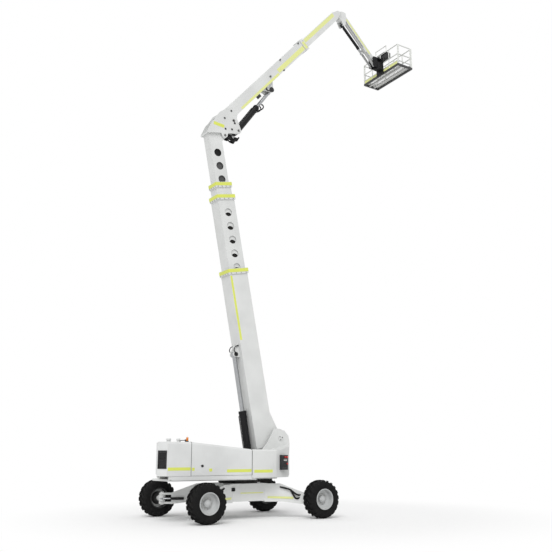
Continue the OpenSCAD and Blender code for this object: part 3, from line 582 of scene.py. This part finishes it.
# Black moulded trim on the hoods: a louvred grille on the near tail corner, and door latches.
# The grille is slats in a frame, pressed into the corner panel from outside.
black_plastic = clouded("black_moulding", (0.012, 0.012, 0.013), (0.030, 0.030, 0.031), scale=14.0, detail=4.0,
    rough=0.42, spread=0.2, Specular_IOR_Level=0.4)
black_plastic.bump(black_plastic.noise(300.0, 2.0), strength=0.2, depth=0.001)
CORNER_RUN, CORNER_IN, GRILLE_Z = 0.19, 0.26, 1.825
FRAME_T, FRAME_CORNER = 0.012, 0.007
SLATS, SLAT_STEP, SLAT_SUNK = 15, 0.0315, 0.004
trim = bmesh.new()
corner_way = Vector((CORNER_RUN, -CORNER_IN, 0)).normalized()
corner_out = Vector((-CORNER_IN, -CORNER_RUN, 0)).normalized()
middle = at(CORNER_RUN / 2 - TAIL_X, CORNER_IN / 2 - SIDE_Y, GRILLE_Z)
for shift, tall in ((0, 0.016), (0.247, 0.03), (-0.247, 0.03)):
    place = facing(middle + Vector((0, 0, shift)), corner_way, corner_out)
    rounded(trim, place, length=0.29, width=tall, thick=FRAME_T, corner=FRAME_CORNER)
for shift in (-0.138, 0.138):
    place = facing(middle + corner_way * shift, (0, 0, 1), corner_out)
    rounded(trim, place, length=0.52, width=0.024, thick=FRAME_T, corner=FRAME_CORNER)
slats = [(middle - corner_out * SLAT_SUNK + Vector((0, 0, SLAT_STEP * (k - SLATS // 2))), corner_out)
    for k in range(SLATS)]
grown("hood_grilles", block_tree, slats, "turntable", "black_plastic",
    Wide=0.27, Tall=0.03, Deep=0.006, Tilt=0.5, Coat=black_plastic.material)
make("hood_trim", trim, black_plastic, "turntable")
LATCH_X, LATCH_Z, LATCH_T = -1.934, 1.635, 0.008
for side, door in ((1, "door_left"), (-1, "door_right")):
    latch = bmesh.new()
    place = on_side(at(LATCH_X, side * SIDE_Y, LATCH_Z), side)
    rounded(latch, place, length=0.085, width=0.075, thick=LATCH_T, corner=0.03)
    rounded(latch, shifted(place, 0, 0, LATCH_T), length=0.055, width=0.02, thick=0.01, corner=0.009)
    make(f"hood_latches_{door}", latch, black_plastic, door)

# Skirts: folded white strips screwed to the deck's edge, which close the gap below the hoods.
# A narrow shadow line is left above them, so that the doors can swing.
skirts = bmesh.new()
SKIRT_LOW, SKIRT_HIGH, SKIRT_T, SKIRT_IN, SKIRT_SHORT = 1.225, 1.343, 0.012, 0.022, 0.36
for side, tail in ((-1, TAIL_X), (1, SHORT_X)):
    rear_end = SKIRT_SHORT - tail
    middle = at((rear_end - SEAM_FRONT) / 2, side * (SIDE_Y - SKIRT_IN), (SKIRT_LOW + SKIRT_HIGH) / 2)
    rounded(skirts, on_side(middle, side), length=-SEAM_FRONT - rear_end, width=SKIRT_HIGH - SKIRT_LOW,
        thick=SKIRT_T, corner=0.02)
make("deck_skirts", skirts, hood_skin, "turntable")

# Rubber seals close the gaps between hood, tail cover and weight, and stand a little proud.
# Each is one extruded strip, pushed over the fixed panel's edge from below round to the channel.
seals = bmesh.new()
EDGE_R, DOOR_Y, HOOD_LOW, HOOD_TOP, FRONT_TOP = 0.07, 0.53, 1.35, 2.34, 2.13
SEAL_HALF, SEAL_PROUD, SEAL_SUNK, SEAL_SHORT = 0.006, 0.003, -0.004, 0.01
SEAL_SECTION = ((-SEAL_HALF, SEAL_SUNK), (-SEAL_HALF, SEAL_PROUD), (SEAL_HALF, SEAL_PROUD),
    (SEAL_HALF, SEAL_SUNK))
turns = [math.radians(15 * k) for k in range(7)]
for side in (-1, 1):
    for x, top in ((-SEAM_REAR - SEAL_HALF, HOOD_TOP), (-SEAM_FRONT + SEAL_HALF, FRONT_TOP)):
        bend = [(SIDE_Y - EDGE_R + EDGE_R * math.cos(t), top - EDGE_R + EDGE_R * math.sin(t), t) for t in turns]
        line = [(SIDE_Y, HOOD_LOW, 0.0)] + bend + [(DOOR_Y + SEAL_SHORT, top, turns[-1])]
        tube(seals, [[seals.verts.new(at(x + dx, side * (y + lift * math.cos(t)), z + lift * math.sin(t)))
            for dx, lift in SEAL_SECTION] for y, z, t in line])
outward(seals)
make("hood_seals", seals, hose_rubber, "turntable")

# Fittings on the tail cover's top: two screwed caps, a grab bar and a horn beside the door.
# Caps are moulded white, the bar is bent round steel in black, and the horn is moulded black.


def circle(bm, place, radius, height, sides):
    """A ring of points round the place's Z, at a height along it."""
    return [bm.verts.new(place @ Vector((radius * math.cos(math.tau * k / sides),
        radius * math.sin(math.tau * k / sides), height))) for k in range(sides)]


KNOB_LINE = ((0.8, 0.0), (0.8, 0.45), (1.0, 0.5), (1.0, 0.85), (0.86, 1.0))


def button(bm, place, radius, tall, sides=24):
    """Adds a round knob with a rolled edge that stands up along the place's Z."""
    tube(bm, [circle(bm, place, share * radius, height * tall, sides) for share, height in KNOB_LINE])


FITTING_Y, HORN_X, HORN_Y = -0.86, -2.365, -0.96
BAR_RUN = ((-2.52, 0), (-2.515, 0.03), (-2.49, 0.045), (-2.36, 0.045), (-2.335, 0.03), (-2.33, 0))
caps = bmesh.new()
for x, radius in ((-2.90, 0.075), (-2.58, 0.06)):
    button(caps, Matrix.Translation(at(x, FITTING_Y, HOOD_TOP)), radius, tall=0.10)
make("tail_caps", caps, hood_skin, "turntable")
bar = bmesh.new()
hose(bar, [at(x, FITTING_Y, HOOD_TOP + z) for x, z in BAR_RUN], radius=0.011)
button(bar, Matrix.Translation(at(HORN_X, HORN_Y, HOOD_TOP)), radius=0.05, tall=0.075)
make("tail_bar_and_horn", bar, black_plastic, "turntable")

# Beacon: an amber moulded lens on a black base, on top of the tail cover.
# Ribs inside the lens spread the light, so it is drawn with a fluted skin.
BASE_TALL = 0.031
lens = Finish("amber_lens", Specular_IOR_Level=0.6, Transmission_Weight=0.35)
flutes = lens.node("ShaderNodeTexWave", {"wave_type": "BANDS", "bands_direction": "Z"},
    {"Vector": lens.spot, "Scale": 14.0}, "Fac")
lens_amber = lens.mix(flutes, (0.95, 0.30, 0.02), (0.80, 0.20, 0.01))
lens.feed("Base Color", lens.mix(lens.part("Z") < HOOD_TOP + BASE_TALL, lens_amber, (0.012, 0.012, 0.013)))
lens.feed("Roughness", 0.12 + 0.1 * flutes)
lens.bump(flutes, strength=0.3, depth=0.004)
dress(lens, "beacon_lens", "beacon")

# Ground control box: a black moulded case with red stop knobs, toggle switches and a pale panel.
# The panel faces outwards from the slanted corner of the cast weight.
dress(black_plastic, "black_plastic", "ground_controls", "control_console")
panel_skin = sprayed("control_panel", (0.70, 0.70, 0.68), dust_top=-1.0, gloss=0.4)
red_knob = clouded("red_knob", (0.62, 0.02, 0.015), (0.45, 0.015, 0.012), scale=30.0, detail=3.0,
    rough=0.28, spread=0.15, Specular_IOR_Level=0.5)
NOSE_X, BOX_Z, BOX_ALONG, BOX_DEEP = 0.70, 1.74, 0.295, 0.1303
PANEL_T, SWITCH_STEP, SWITCH_LOW, SWITCH_RISE = 0.006, 0.066, -0.13, 0.07
box_turn = math.atan2(0.20, 0.62)
box_out = Vector((math.sin(box_turn), -math.cos(box_turn), 0))
box_run = Vector((math.cos(box_turn), math.sin(box_turn), 0))
face = facing(at(NOSE_X, -SIDE_Y, BOX_Z) + box_run * BOX_ALONG + box_out * BOX_DEEP, box_run, box_out)
panel = bmesh.new()
rounded(panel, shifted(face, 0, 0.06, 0), length=0.15, width=0.07, thick=PANEL_T, corner=0.02)
make("ground_panel", panel, panel_skin, "turntable")
switches = bmesh.new()
for column in (-1, 0, 1):
    for row in range(4):
        place = shifted(face, SWITCH_STEP * column, SWITCH_LOW + SWITCH_RISE * row, PANEL_T)
        button(switches, place, radius=0.013, tall=0.03, sides=12)
make("ground_switches", switches, black_plastic, "turntable")
stop = bmesh.new()
for across, up, radius in ((0.055, 0.145, 0.03), (-0.05, 0.15, 0.022), (0.06, -0.06, 0.026)):
    button(stop, shifted(face, across, up, PANEL_T), radius, tall=0.045)
make("ground_stop", stop, red_knob, "turntable")

# Pivot pin ends: a keeper disc and three bolts on each upright hold the tower's pin.
# The discs are turned steel in the turntable's white, and the bolts are blacked.


def keeper(caps, cap_bolts, centre, half, radius, tall, bolt_r, first, sides):
    """Adds a keeper disc and three bolts on each end of a pin that runs across the machine."""
    for side in (-1, 1):
        button(caps, on_side(centre + Vector((0, side * half, 0)), side), radius, tall, sides)
        for k in range(3):
            turn = math.tau * (k / 3 + first)
            spot = Vector((bolt_r * math.cos(turn), side * (half + tall), bolt_r * math.sin(turn)))
            cap_bolts.append((centre + spot, (0, side, 0)))


UPRIGHT_Y = 0.47
discs = bmesh.new()
disc_bolts = []
keeper(discs, disc_bolts, pin["tower_lift"], UPRIGHT_Y, radius=0.09, tall=0.02, bolt_r=0.055, first=0.05,
    sides=32)
make("pivot_discs", discs, turntable_paint, "turntable")
bolts("pivot_bolts", disc_bolts, black_plastic, "turntable", "black_plastic", size=0.013)

# Tower: four box sections of high-strength plate that slide in one another, sprayed white.
# Round windows lighten the inner sections, and each collar holds screwed wear pads and tape.
tower_paint = sprayed("tower_enamel", WHITE, dust_top=0.2)
dress(tower_paint, "white_paint", "tower_base", "tower_mid_1", "tower_mid_2", "tower_fly")
PIVOT_OUT = 0.52
COLLARS = (("tower_base", 5.86, 0.78, 0.66), ("tower_mid_1", 8.49, 0.71, 0.59),
    ("tower_mid_2", 8.94, 0.64, 0.52))
COLLAR_TALL, BELT_RISE, BELT_DROP, SCREW_RISE, SCREW_SIZE = 0.19, 0.06, 0.012, 0.03, 0.015
TAPE_GAP = 0.0003
STRIPE_OUT, STRIPE_SIDE = -0.30, 0.30
tower_up = axis["tower_mid_1_slide"]
tower_out = Vector((tower_up.z, 0, -tower_up.x))
tower_foot = pin["tower_lift"] - PIVOT_OUT * tower_out


def on_tower(out, side, up):
    """A point of the tower: out towards the platform, to its side, and up along it."""
    return tower_foot + out * tower_out + Vector((0, side, 0)) + up * tower_up


def strip(bm, on, way, off, side, low, high, width, thick, corner=0.012):
    """Adds a strip to a side of a boom section, from low to high along it."""
    place = on_side(on(off, side, (low + high) / 2), math.copysign(1, side), way)
    rounded(bm, place, high - low, width, thick, corner)


def belt(bm, deep, wide, low, high):
    """Adds a band of tape round a section of the tower, from low to high along it."""
    inner_low, inner_high, outer_low, outer_high = (
        [bm.verts.new(on_tower(sx * (deep / 2 + grow), sy * (wide / 2 + grow), up))
            for sx, sy in ((1, 1), (-1, 1), (-1, -1), (1, -1))]
        for grow in (TAPE_GAP, TAPE_T) for up in (low, high))
    skin(bm, [outer_low, outer_high, inner_high, inner_low, outer_low])
    outward(bm)


for body, top, deep, wide in COLLARS:
    tapes = bmesh.new()
    belt(tapes, deep, wide, top - COLLAR_TALL + BELT_RISE, top - BELT_DROP)
    screws = []
    for side in (-1, 1):
        if body == "tower_base":
            strip(tapes, on_tower, tower_up, STRIPE_OUT, side * STRIPE_SIDE, low=3.42, high=5.62, width=0.075,
                thick=TAPE_T)
        for share in (-1.5 / 4, -0.5 / 4, 0.5 / 4, 1.5 / 4):
            up = top - COLLAR_TALL + SCREW_RISE
            screws.append((on_tower(deep * share, side * wide / 2, up), (0, side, 0)))
            screws.append((on_tower(side * deep / 2, wide * share, up), side * tower_out))
    make(f"{body}_tape", tapes, tape, body)
    bolts(f"{body}_pad_screws", screws, zinc, body, "bright_rod", size=SCREW_SIZE)

# Painted shade: near-black film strips on the fly section's sides stand for the shade inside the tower.
# They show only as dark patches through the windows of the sections round it.
# A dark sheet stands inside the fly as painted shade for the fly's own windows, near black at the top.
# Near-black film, painted shade for the dark inside seen through the tower's windows.
shade_film = clouded("window_shade_film", (0.010, 0.010, 0.010), (0.030, 0.028, 0.026), scale=7.0, detail=4.0,
    rough=0.5, spread=0.3, Specular_IOR_Level=0.2)
FILM_T, FLY_WIDE = 0.0002, 0.39
shade_strips = bmesh.new()
for side in (-1, 1):
    strip(shade_strips, on_tower, tower_up, 0, side * FLY_WIDE / 2, low=5.45, high=8.30, width=0.24, thick=FILM_T,
        corner=0.05)
make("fly_window_shade_strips", shade_strips, shade_film, "tower_fly")
SHADE_SHEET_LOW, SHADE_SHEET_HIGH, SHADE_SHEET_WIDE, SHADE_SHEET_DEEP = 5.6, 10.3, 0.30, 0.26
TOP_SHADE_LOW, TOP_SHADE_HIGH = 11.95, 12.25
shade_sheet = Finish("window_shade_sheet", Specular_IOR_Level=0.2)
shade_sheet_cloud = shade_sheet.noise(8.0, 4.0)
# Painted shade: near black above a height by the fly's top window, dark grey below it.
shade_sheet_top = shade_sheet.ramp(shade_sheet.part("Z") + 0.2 * shade_sheet_cloud, TOP_SHADE_LOW, TOP_SHADE_HIGH)
shade_sheet.feed("Base Color", shade_sheet.mix(shade_sheet_top, (0.09, 0.09, 0.09), (0.010, 0.010, 0.010)))
shade_sheet.feed("Roughness", 0.5 + 0.3 * shade_sheet_cloud)
core = bmesh.new()
place = facing(on_tower(0, -SHADE_SHEET_WIDE / 2, (SHADE_SHEET_LOW + SHADE_SHEET_HIGH) / 2), tower_up, (0, 1, 0))
rounded(core, place, length=SHADE_SHEET_HIGH - SHADE_SHEET_LOW, width=SHADE_SHEET_DEEP, thick=SHADE_SHEET_WIDE, corner=0.03)
make("fly_window_shade_sheet", core, shade_sheet, "tower_fly")

# Tower cylinder: a black barrel with a screwed gland, and two pipes clipped along its side.
# The rod's eye turns on a pin with round caps, and a short hose bends from each side of it.
dress(black_enamel, "black_paint", "tower_barrel", "main_barrel", "jib_barrel", "platform_mount",
    "platform_bracket")
NUT_LINE = ((1.0, -0.10), (1.10, -0.095), (1.10, -0.012), (1.04, 0.0), (0.75, 0.0))
PIPE_SHARE, PIPE_ACROSS, PIPE_SIDE, PIPE_NEAR, PIPE_FAR = 0.12, 0.34, 0.94, 0.12, 0.16
PIPE_IN, PIPE_OUT = 0.9, 1.16


def gland(name, base_joint, slide_joint, body, reach, radius, piped=True):
    """A gland nut with flats and a wiper lip round the mouth of a barrel, with its feed pipes."""
    way = axis[slide_joint].normalized()
    place = facing(pin[base_joint] + way * reach, (0, 1, 0), way)
    bm = bmesh.new()
    skin(bm, [circle(bm, place, radius * share, z, sides=32) for share, z in NUT_LINE])
    for side in (-1, 1) if piped else ():
        tube(bm, [circle(bm, shifted(place, PIPE_ACROSS * lift * radius, side * PIPE_SIDE * lift * radius, z),
            PIPE_SHARE * radius, 0, sides=10) for z, lift in ((PIPE_NEAR - reach, PIPE_IN),
                (PIPE_FAR - reach, PIPE_OUT), (-PIPE_FAR, PIPE_OUT), (-PIPE_NEAR, PIPE_IN))])
    outward(bm)
    make(name, bm, black_enamel, body)


EYE_OUT, EYE_UP, EYE_HALF, EYE_HOSE_Y = -0.49, 2.982, 0.13, 0.16
EYE_RUN = ((-0.50, 3.02), (-0.55, 3.12), (-0.50, 3.22), (-0.40, 3.26), (-0.36, 3.24))
eye_caps = bmesh.new()
for side in (-1, 1):
    button(eye_caps, on_side(on_tower(EYE_OUT, side * EYE_HALF, EYE_UP), side), radius=0.07, tall=0.03)
    hose(eye_caps, [on_tower(out, side * EYE_HOSE_Y, up) for out, up in EYE_RUN], radius=0.016)
make("tower_eye_caps", eye_caps, black_enamel, "tower_base")
gland("tower_gland", "tower_barrel_turn", "tower_rod_slide", "tower_barrel", reach=1.965, radius=0.12)

# Head: two profiled plates on the fly section's top that carry the main boom and its cylinder.
# Pins are held by bolted keeper discs, and a patch of tape marks the near corner.
head_paint = sprayed("head_enamel", WHITE, dust_top=0.2)
dress(head_paint, "white_paint", "upright_head")
HEAD_HALF, CAP_TALL, PLAIN_R, PATCH_X, PATCH_Z = 0.275, 0.018, 0.034, -1.09, 13.26
PLAIN_CAPS = ((-0.61, 13.90), (-0.87, 13.56), (-0.46, 13.46), (-0.83, 13.16), (-0.57, 13.20))
head_caps = bmesh.new()
head_bolts = []
for name, radius in (("head_level", 0.042), ("main_lift", 0.05), ("main_barrel_turn", 0.042)):
    keeper(head_caps, head_bolts, pin[name], HEAD_HALF, radius, CAP_TALL, bolt_r=0.6 * radius, first=0.1,
        sides=28)
for x, z in PLAIN_CAPS:
    for side in (-1, 1):
        button(head_caps, on_side(at(x, side * HEAD_HALF, z), side), PLAIN_R, CAP_TALL, sides=20)
make("head_pin_caps", head_caps, black_enamel, "head")
bolts("head_pin_bolts", head_bolts, zinc, "head", "bright_rod", size=0.010)

# Levelling cylinder: a short black cylinder and its valve blocks hang below the head's plates.
# Hoses loop from the blocks, so that the head keeps upright while the tower leans.
LEVEL_RUN = ((-0.66, 13.02), (-0.60, 12.99), (-0.48, 12.97), (-0.36, 12.94), (-0.27, 12.97))
LEVEL_LOOP = ((-0.66, 13.02), (-0.60, 12.95), (-0.52, 12.96), (-0.42, 12.90), (-0.29, 12.90), (-0.20, 13.03))
LOOP_Y, BLOCK_Y = 0.13, 0.10
level_gear = bmesh.new()
hose(level_gear, [at(x, 0, z) for x, z in LEVEL_RUN], radius=0.062, steps=4, sides=20)
for side in (-1, 1):
    hose(level_gear, [at(x, side * LOOP_Y, z) for x, z in LEVEL_LOOP], radius=0.026)
    for x, z in ((-0.58, 12.98), (-0.33, 12.93)):
        place = on_side(at(x, side * BLOCK_Y, z), side, (1, 0, -0.1))
        rounded(level_gear, place, length=0.15, width=0.12, thick=0.06, corner=0.02)
make("level_gear", level_gear, black_enamel, "head")
head_tape = bmesh.new()
for side in (-1, 1):
    place = on_side(at(PATCH_X, side * HEAD_HALF, PATCH_Z), side, (1, 0, -0.12))
    rounded(head_tape, place, length=0.42, width=0.12, thick=TAPE_T)
make("head_tape", head_tape, tape, "head")

# Main boom: two box sections with the fly sliding in the base, white, with tape along its sides.
# Black clips hold its lines, and hoses bend round the eye and the mouth of its lift cylinder.
boom_paint = sprayed("boom_enamel", WHITE, dust_top=0.2)
dress(boom_paint, "white_paint", "main_base", "main_fly", "jib_head", "jib_arm")
boom_way = axis["main_fly_slide"]
boom_up = Vector((-boom_way.z, 0, boom_way.x))
MAIN_OFF, MAIN_DEEP, MAIN_HALF, COLLAR_HALF, FLY_HALF = 0.28, 0.43, 0.19, 0.22, 0.15


def on_boom(up, side, along):
    """A point of the main boom: up from its centre line, to its side, and along it."""
    return pin["main_lift"] + (MAIN_OFF + up) * boom_up + Vector((0, side, 0)) + along * boom_way


boom_tape, fly_tape, clips = bmesh.new(), bmesh.new(), bmesh.new()
boom_screws = []
EYE_ALONG, EYE_DROP, EYE_R, SCREW_ALONG, CLIP_HALF = 2.41, 0.20, 0.10, 5.16, 0.035
BLOCK_ALONG, BLOCK_SIDE = 1.70, -0.155
EYE_BEND = ((-0.43, 2.36), (-0.37, 2.25), (-0.28, 2.22), (-0.21, 2.28))
eye = on_boom(-MAIN_DEEP / 2 - EYE_DROP, 0, EYE_ALONG)
for side in (-1, 1):
    for up, width, low, high in ((-0.165, 0.09, 0.70, 3.15), (-0.075, 0.17, 3.20, 5.02)):
        strip(boom_tape, on_boom, boom_way, up, side * MAIN_HALF, low, high, width, TAPE_T)
    strip(boom_tape, on_boom, boom_way, -0.03, side * COLLAR_HALF, low=5.055, high=5.185, width=0.30,
        thick=TAPE_T)
    strip(fly_tape, on_boom, boom_way, 0.085, side * FLY_HALF, low=5.30, high=7.50, width=0.15, thick=FILM_T)
    for up in (-0.14, 0, 0.14):
        boom_screws.append((on_boom(up, side * COLLAR_HALF, SCREW_ALONG), (0, side, 0)))
    for up, along in ((-0.02, 2.72), (-0.20, 3.45), (0.19, 3.62), (0.19, 4.9)):
        strip(clips, on_boom, boom_way, up, side * MAIN_HALF, along - CLIP_HALF, along + CLIP_HALF, width=0.05,
            thick=0.03, corner=0.015)
    button(clips, on_side(eye + Vector((0, side * EYE_HALF, 0)), side), EYE_R, tall=0.03)
    hose(clips, [on_boom(up, side * EYE_HOSE_Y, along) for up, along in EYE_BEND], radius=0.022)
place = facing(on_boom(-MAIN_DEEP / 2, BLOCK_SIDE, BLOCK_ALONG), boom_way, -boom_up)
rounded(clips, place, length=0.20, width=0.07, thick=0.11, corner=0.02)
make("main_base_tape", boom_tape, worn_tape, "main_base")
make("main_fly_tape", fly_tape, worn_tape, "main_fly")
bolts("main_pad_screws", boom_screws, zinc, "main_base", "bright_rod", size=0.012)
make("boom_clips", clips, black_plastic, "main_base")
FEED_RUN = ((1.36, 0.07), (1.46, 0.13), (1.60, 0.19), (1.72, 0.18), (1.76, 0.10), (1.72, 0.07))
FEED_Y = 0.09
barrel_way = axis["main_rod_slide"].normalized()
barrel_out = Vector((barrel_way.z, 0, -barrel_way.x))
feed = bmesh.new()
for side in (-1, 1):
    foot = pin["main_barrel_turn"] + Vector((0, side * FEED_Y, 0))
    hose(feed, [foot + along * barrel_way + out * barrel_out for along, out in FEED_RUN], radius=0.022)
make("main_feed_loop", feed, black_enamel, "main_barrel")
gland("main_gland", "main_barrel_turn", "main_rod_slide", "main_barrel", reach=1.55, radius=0.105)
gland("jib_gland", "jib_barrel_turn", "jib_rod_slide", "jib_barrel", reach=1.165, radius=0.0575, piped=False)

# Jib: one square arm over a pair of flat link bars, so that the basket keeps level.
# The arm is white with tape along it, and the link bars are grey.
link_paint = sprayed("grey_enamel", (0.42, 0.425, 0.42), dust_top=0.2, gloss=0.38)
dress(link_paint, "grey_paint", "jib_link")
ARM_HALF, TAPE_SHARE = 0.064, 0.8
jib_run = pin["platform_level"] - pin["jib_lift"]
jib_tape = bmesh.new()
for side in (-1, 1):
    spot = pin["jib_lift"] + jib_run / 2 + Vector((0, side * ARM_HALF, 0))
    rounded(jib_tape, on_side(spot, side, jib_run), TAPE_SHARE * jib_run.length, width=0.07, thick=TAPE_T)
make("jib_tape", jib_tape, worn_tape, "jib_arm")

# Platform: an aluminium basket of round tube on a steel floor frame with an open mesh floor.
# Rails are satin metal, and the toe boards across its ends are yellow-green.
rail_metal = clouded("rail_tube", (0.70, 0.71, 0.68), (0.56, 0.57, 0.55), scale=12.0, detail=4.0,
    rough=0.34, spread=0.2, Metallic=0.35)
dress(rail_metal, "rail_tube", "platform_rails", "platform_gate")
floor_low, floor_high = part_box("platform_floor")
rail_low, rail_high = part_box("platform_rails")
FLOOR_RIM, MESH_RIM_Y, MESH_STEP, MESH_BAR, MESH_DROP = 0.062, 0.082, 0.032, 0.12, 0.0215
floor_steel = Finish("mesh_floor", Metallic=0.5)
floor_cloud = floor_steel.noise(9.0, 4.0)
floor_x, floor_y, floor_z = (floor_steel.part(letter) for letter in "XYZ")
between_x = (floor_x > floor_low.x + FLOOR_RIM) * (floor_x < floor_high.x - FLOOR_RIM)
between_y = (floor_y > floor_low.y + FLOOR_RIM) * (floor_y < floor_high.y - FLOOR_RIM)
mesh_y = (floor_y > floor_low.y + MESH_RIM_Y) * (floor_y < floor_high.y - MESH_RIM_Y)
mesh_area = (floor_z > floor_high.z - MESH_DROP) * between_x * mesh_y
gap_x, gap_y = ((along * (1 / MESH_STEP)).maths("FRACT") > MESH_BAR for along in (floor_x, floor_y))
rim_tone = floor_steel.mix(floor_cloud, (0.05, 0.05, 0.05), (0.09, 0.09, 0.09))
floor_steel.feed("Base Color", floor_steel.mix(between_x * between_y, rim_tone, (0.55, 0.55, 0.54)))
floor_steel.feed("Roughness", 0.4 + 0.3 * floor_cloud)
floor_steel.feed("Alpha", 1.0 - mesh_area * gap_x * gap_y)
dress(floor_steel, "grey_paint", "platform_floor")
TOE_IN, TOE_RISE, TOE_SHORT = 0.015, 0.075, 0.12
toe = bmesh.new()
for x, out in ((rail_low.x, -1), (rail_high.x, 1)):
    place = facing((x - out * TOE_IN, 0, rail_low.z + TOE_RISE), (0, 1, 0), (out, 0, 0))
    rounded(toe, place, length=rail_high.y - rail_low.y - TOE_SHORT, width=0.13, thick=TAPE_T)
make("toe_boards", toe, worn_tape, "platform")

# Platform console: a black moulded desk with two levers, a red stop knob and a row of switches.
# They stand on its top, within reach from inside the basket.
desk_low, desk_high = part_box("control_console")
DESK_SHIFT, LEVER_SIDE, COLLAR_H = 0.02, 0.18, 0.03
desk_middle = (desk_low + desk_high) / 2
desk = facing((desk_middle.x + DESK_SHIFT, desk_middle.y, desk_high.z), (0, 1, 0), (0, 0, 1))
levers = bmesh.new()
for across in (-LEVER_SIDE, LEVER_SIDE):
    button(levers, shifted(desk, across, 0.02, 0), radius=0.045, tall=COLLAR_H, sides=20)
    button(levers, shifted(desk, across, 0.02, COLLAR_H), radius=0.014, tall=0.09, sides=12)
for k in range(6):
    button(levers, shifted(desk, -0.1 + 0.04 * k, -0.07, 0), radius=0.011, tall=0.028, sides=12)
make("console_levers", levers, black_plastic, "platform")
stop = bmesh.new()
button(stop, shifted(desk, 0.0, 0.05, 0), radius=0.03, tall=0.045)
make("console_stop", stop, red_knob, "platform")

# Studio: a pale floor that fades to white, a broad soft key light and an even white surround.
# The camera stands low on the near left, at the photograph's view of the machine.
VIEW_FOCAL, VIEW_SIZE, SENSOR, VIEW_END = 747.7, 552, 36, 500
VIEW_SPOT = at(-12.525, -21.891, 2.030)
VIEW_TURN, VIEW_PITCH = math.radians(32.58), math.radians(13.28)
camera_data = bpy.data.cameras.new("view")
camera_data.sensor_width = SENSOR
camera_data.lens = SENSOR * VIEW_FOCAL / VIEW_SIZE
camera_data.clip_end = VIEW_END
camera = shown("view", camera_data)
camera.location = VIEW_SPOT
camera.rotation_euler = (math.radians(90) + VIEW_PITCH, 0, -VIEW_TURN)
bpy.context.scene.camera = camera

FLOOR_SIZE, FADE_NEAR, FADE_FAR = 150, 4.5, 10.0
floor_mesh = bmesh.new()
bmesh.ops.create_grid(floor_mesh, x_segments=8, y_segments=8, size=FLOOR_SIZE)
floor_data = bpy.data.meshes.new("floor")
floor_mesh.to_mesh(floor_data)
floor_mesh.free()
ground = shown("floor", floor_data)
pale = Finish("pale_floor", Roughness=0.9, Specular_IOR_Level=0.1, Base_Color=(0.92, 0.92, 0.92, 1))
away = pale.node("ShaderNodeVectorMath", {"operation": "LENGTH"}, {0: pale.spot}, "Value")
fade = pale.ramp(away, FADE_NEAR, FADE_FAR)
rays = pale.tree.nodes.new("ShaderNodeLightPath").outputs
seen = Wire(pale, rays["Is Camera Ray"]) + Wire(pale, rays["Is Glossy Ray"])
glow = pale.node("ShaderNodeEmission", {}, {"Color": (1, 1, 1), "Strength": 1.0}, "Emission")
blend = pale.node("ShaderNodeMixShader", {}, {0: fade * seen, 1: Wire(pale, pale.shader.outputs[0]), 2: glow})
pale.tree.links.new(blend.socket, pale.tree.nodes["Material Output"].inputs["Surface"])
floor_data.materials.append(pale.material)

SKY_LIGHT, SKY_SEEN = 0.62, 1.0
world = bpy.data.worlds.new("surround")
bpy.context.scene.world = world
world.use_nodes = True
sky = world.node_tree
rays = sky.nodes.new("ShaderNodeLightPath").outputs
seen = rays["Is Camera Ray"]
for kind in ("Is Glossy Ray", "Is Transmission Ray"):
    seen = add_node(sky, "ShaderNodeMath", {"operation": "ADD", "use_clamp": True}, {0: seen, 1: rays[kind]})
level = add_node(sky, "ShaderNodeMapRange", {}, {"Value": seen, "To Min": SKY_LIGHT, "To Max": SKY_SEEN})
sky.nodes["Background"].inputs["Color"].default_value = (1, 1, 1, 1)
sky.links.new(level, sky.nodes["Background"].inputs["Strength"])

KEY_WAY, KEY_POWER, KEY_SPREAD = Vector((0.62, 0.75, -0.95)), 1.7, math.radians(35)
key_data = bpy.data.lights.new("key", "SUN")
key_data.energy = KEY_POWER
key_data.angle = KEY_SPREAD
key = shown("key", key_data)
key.rotation_euler = KEY_WAY.to_track_quat("-Z", "Y").to_euler()

bpy.context.scene.view_settings.view_transform = "Standard"
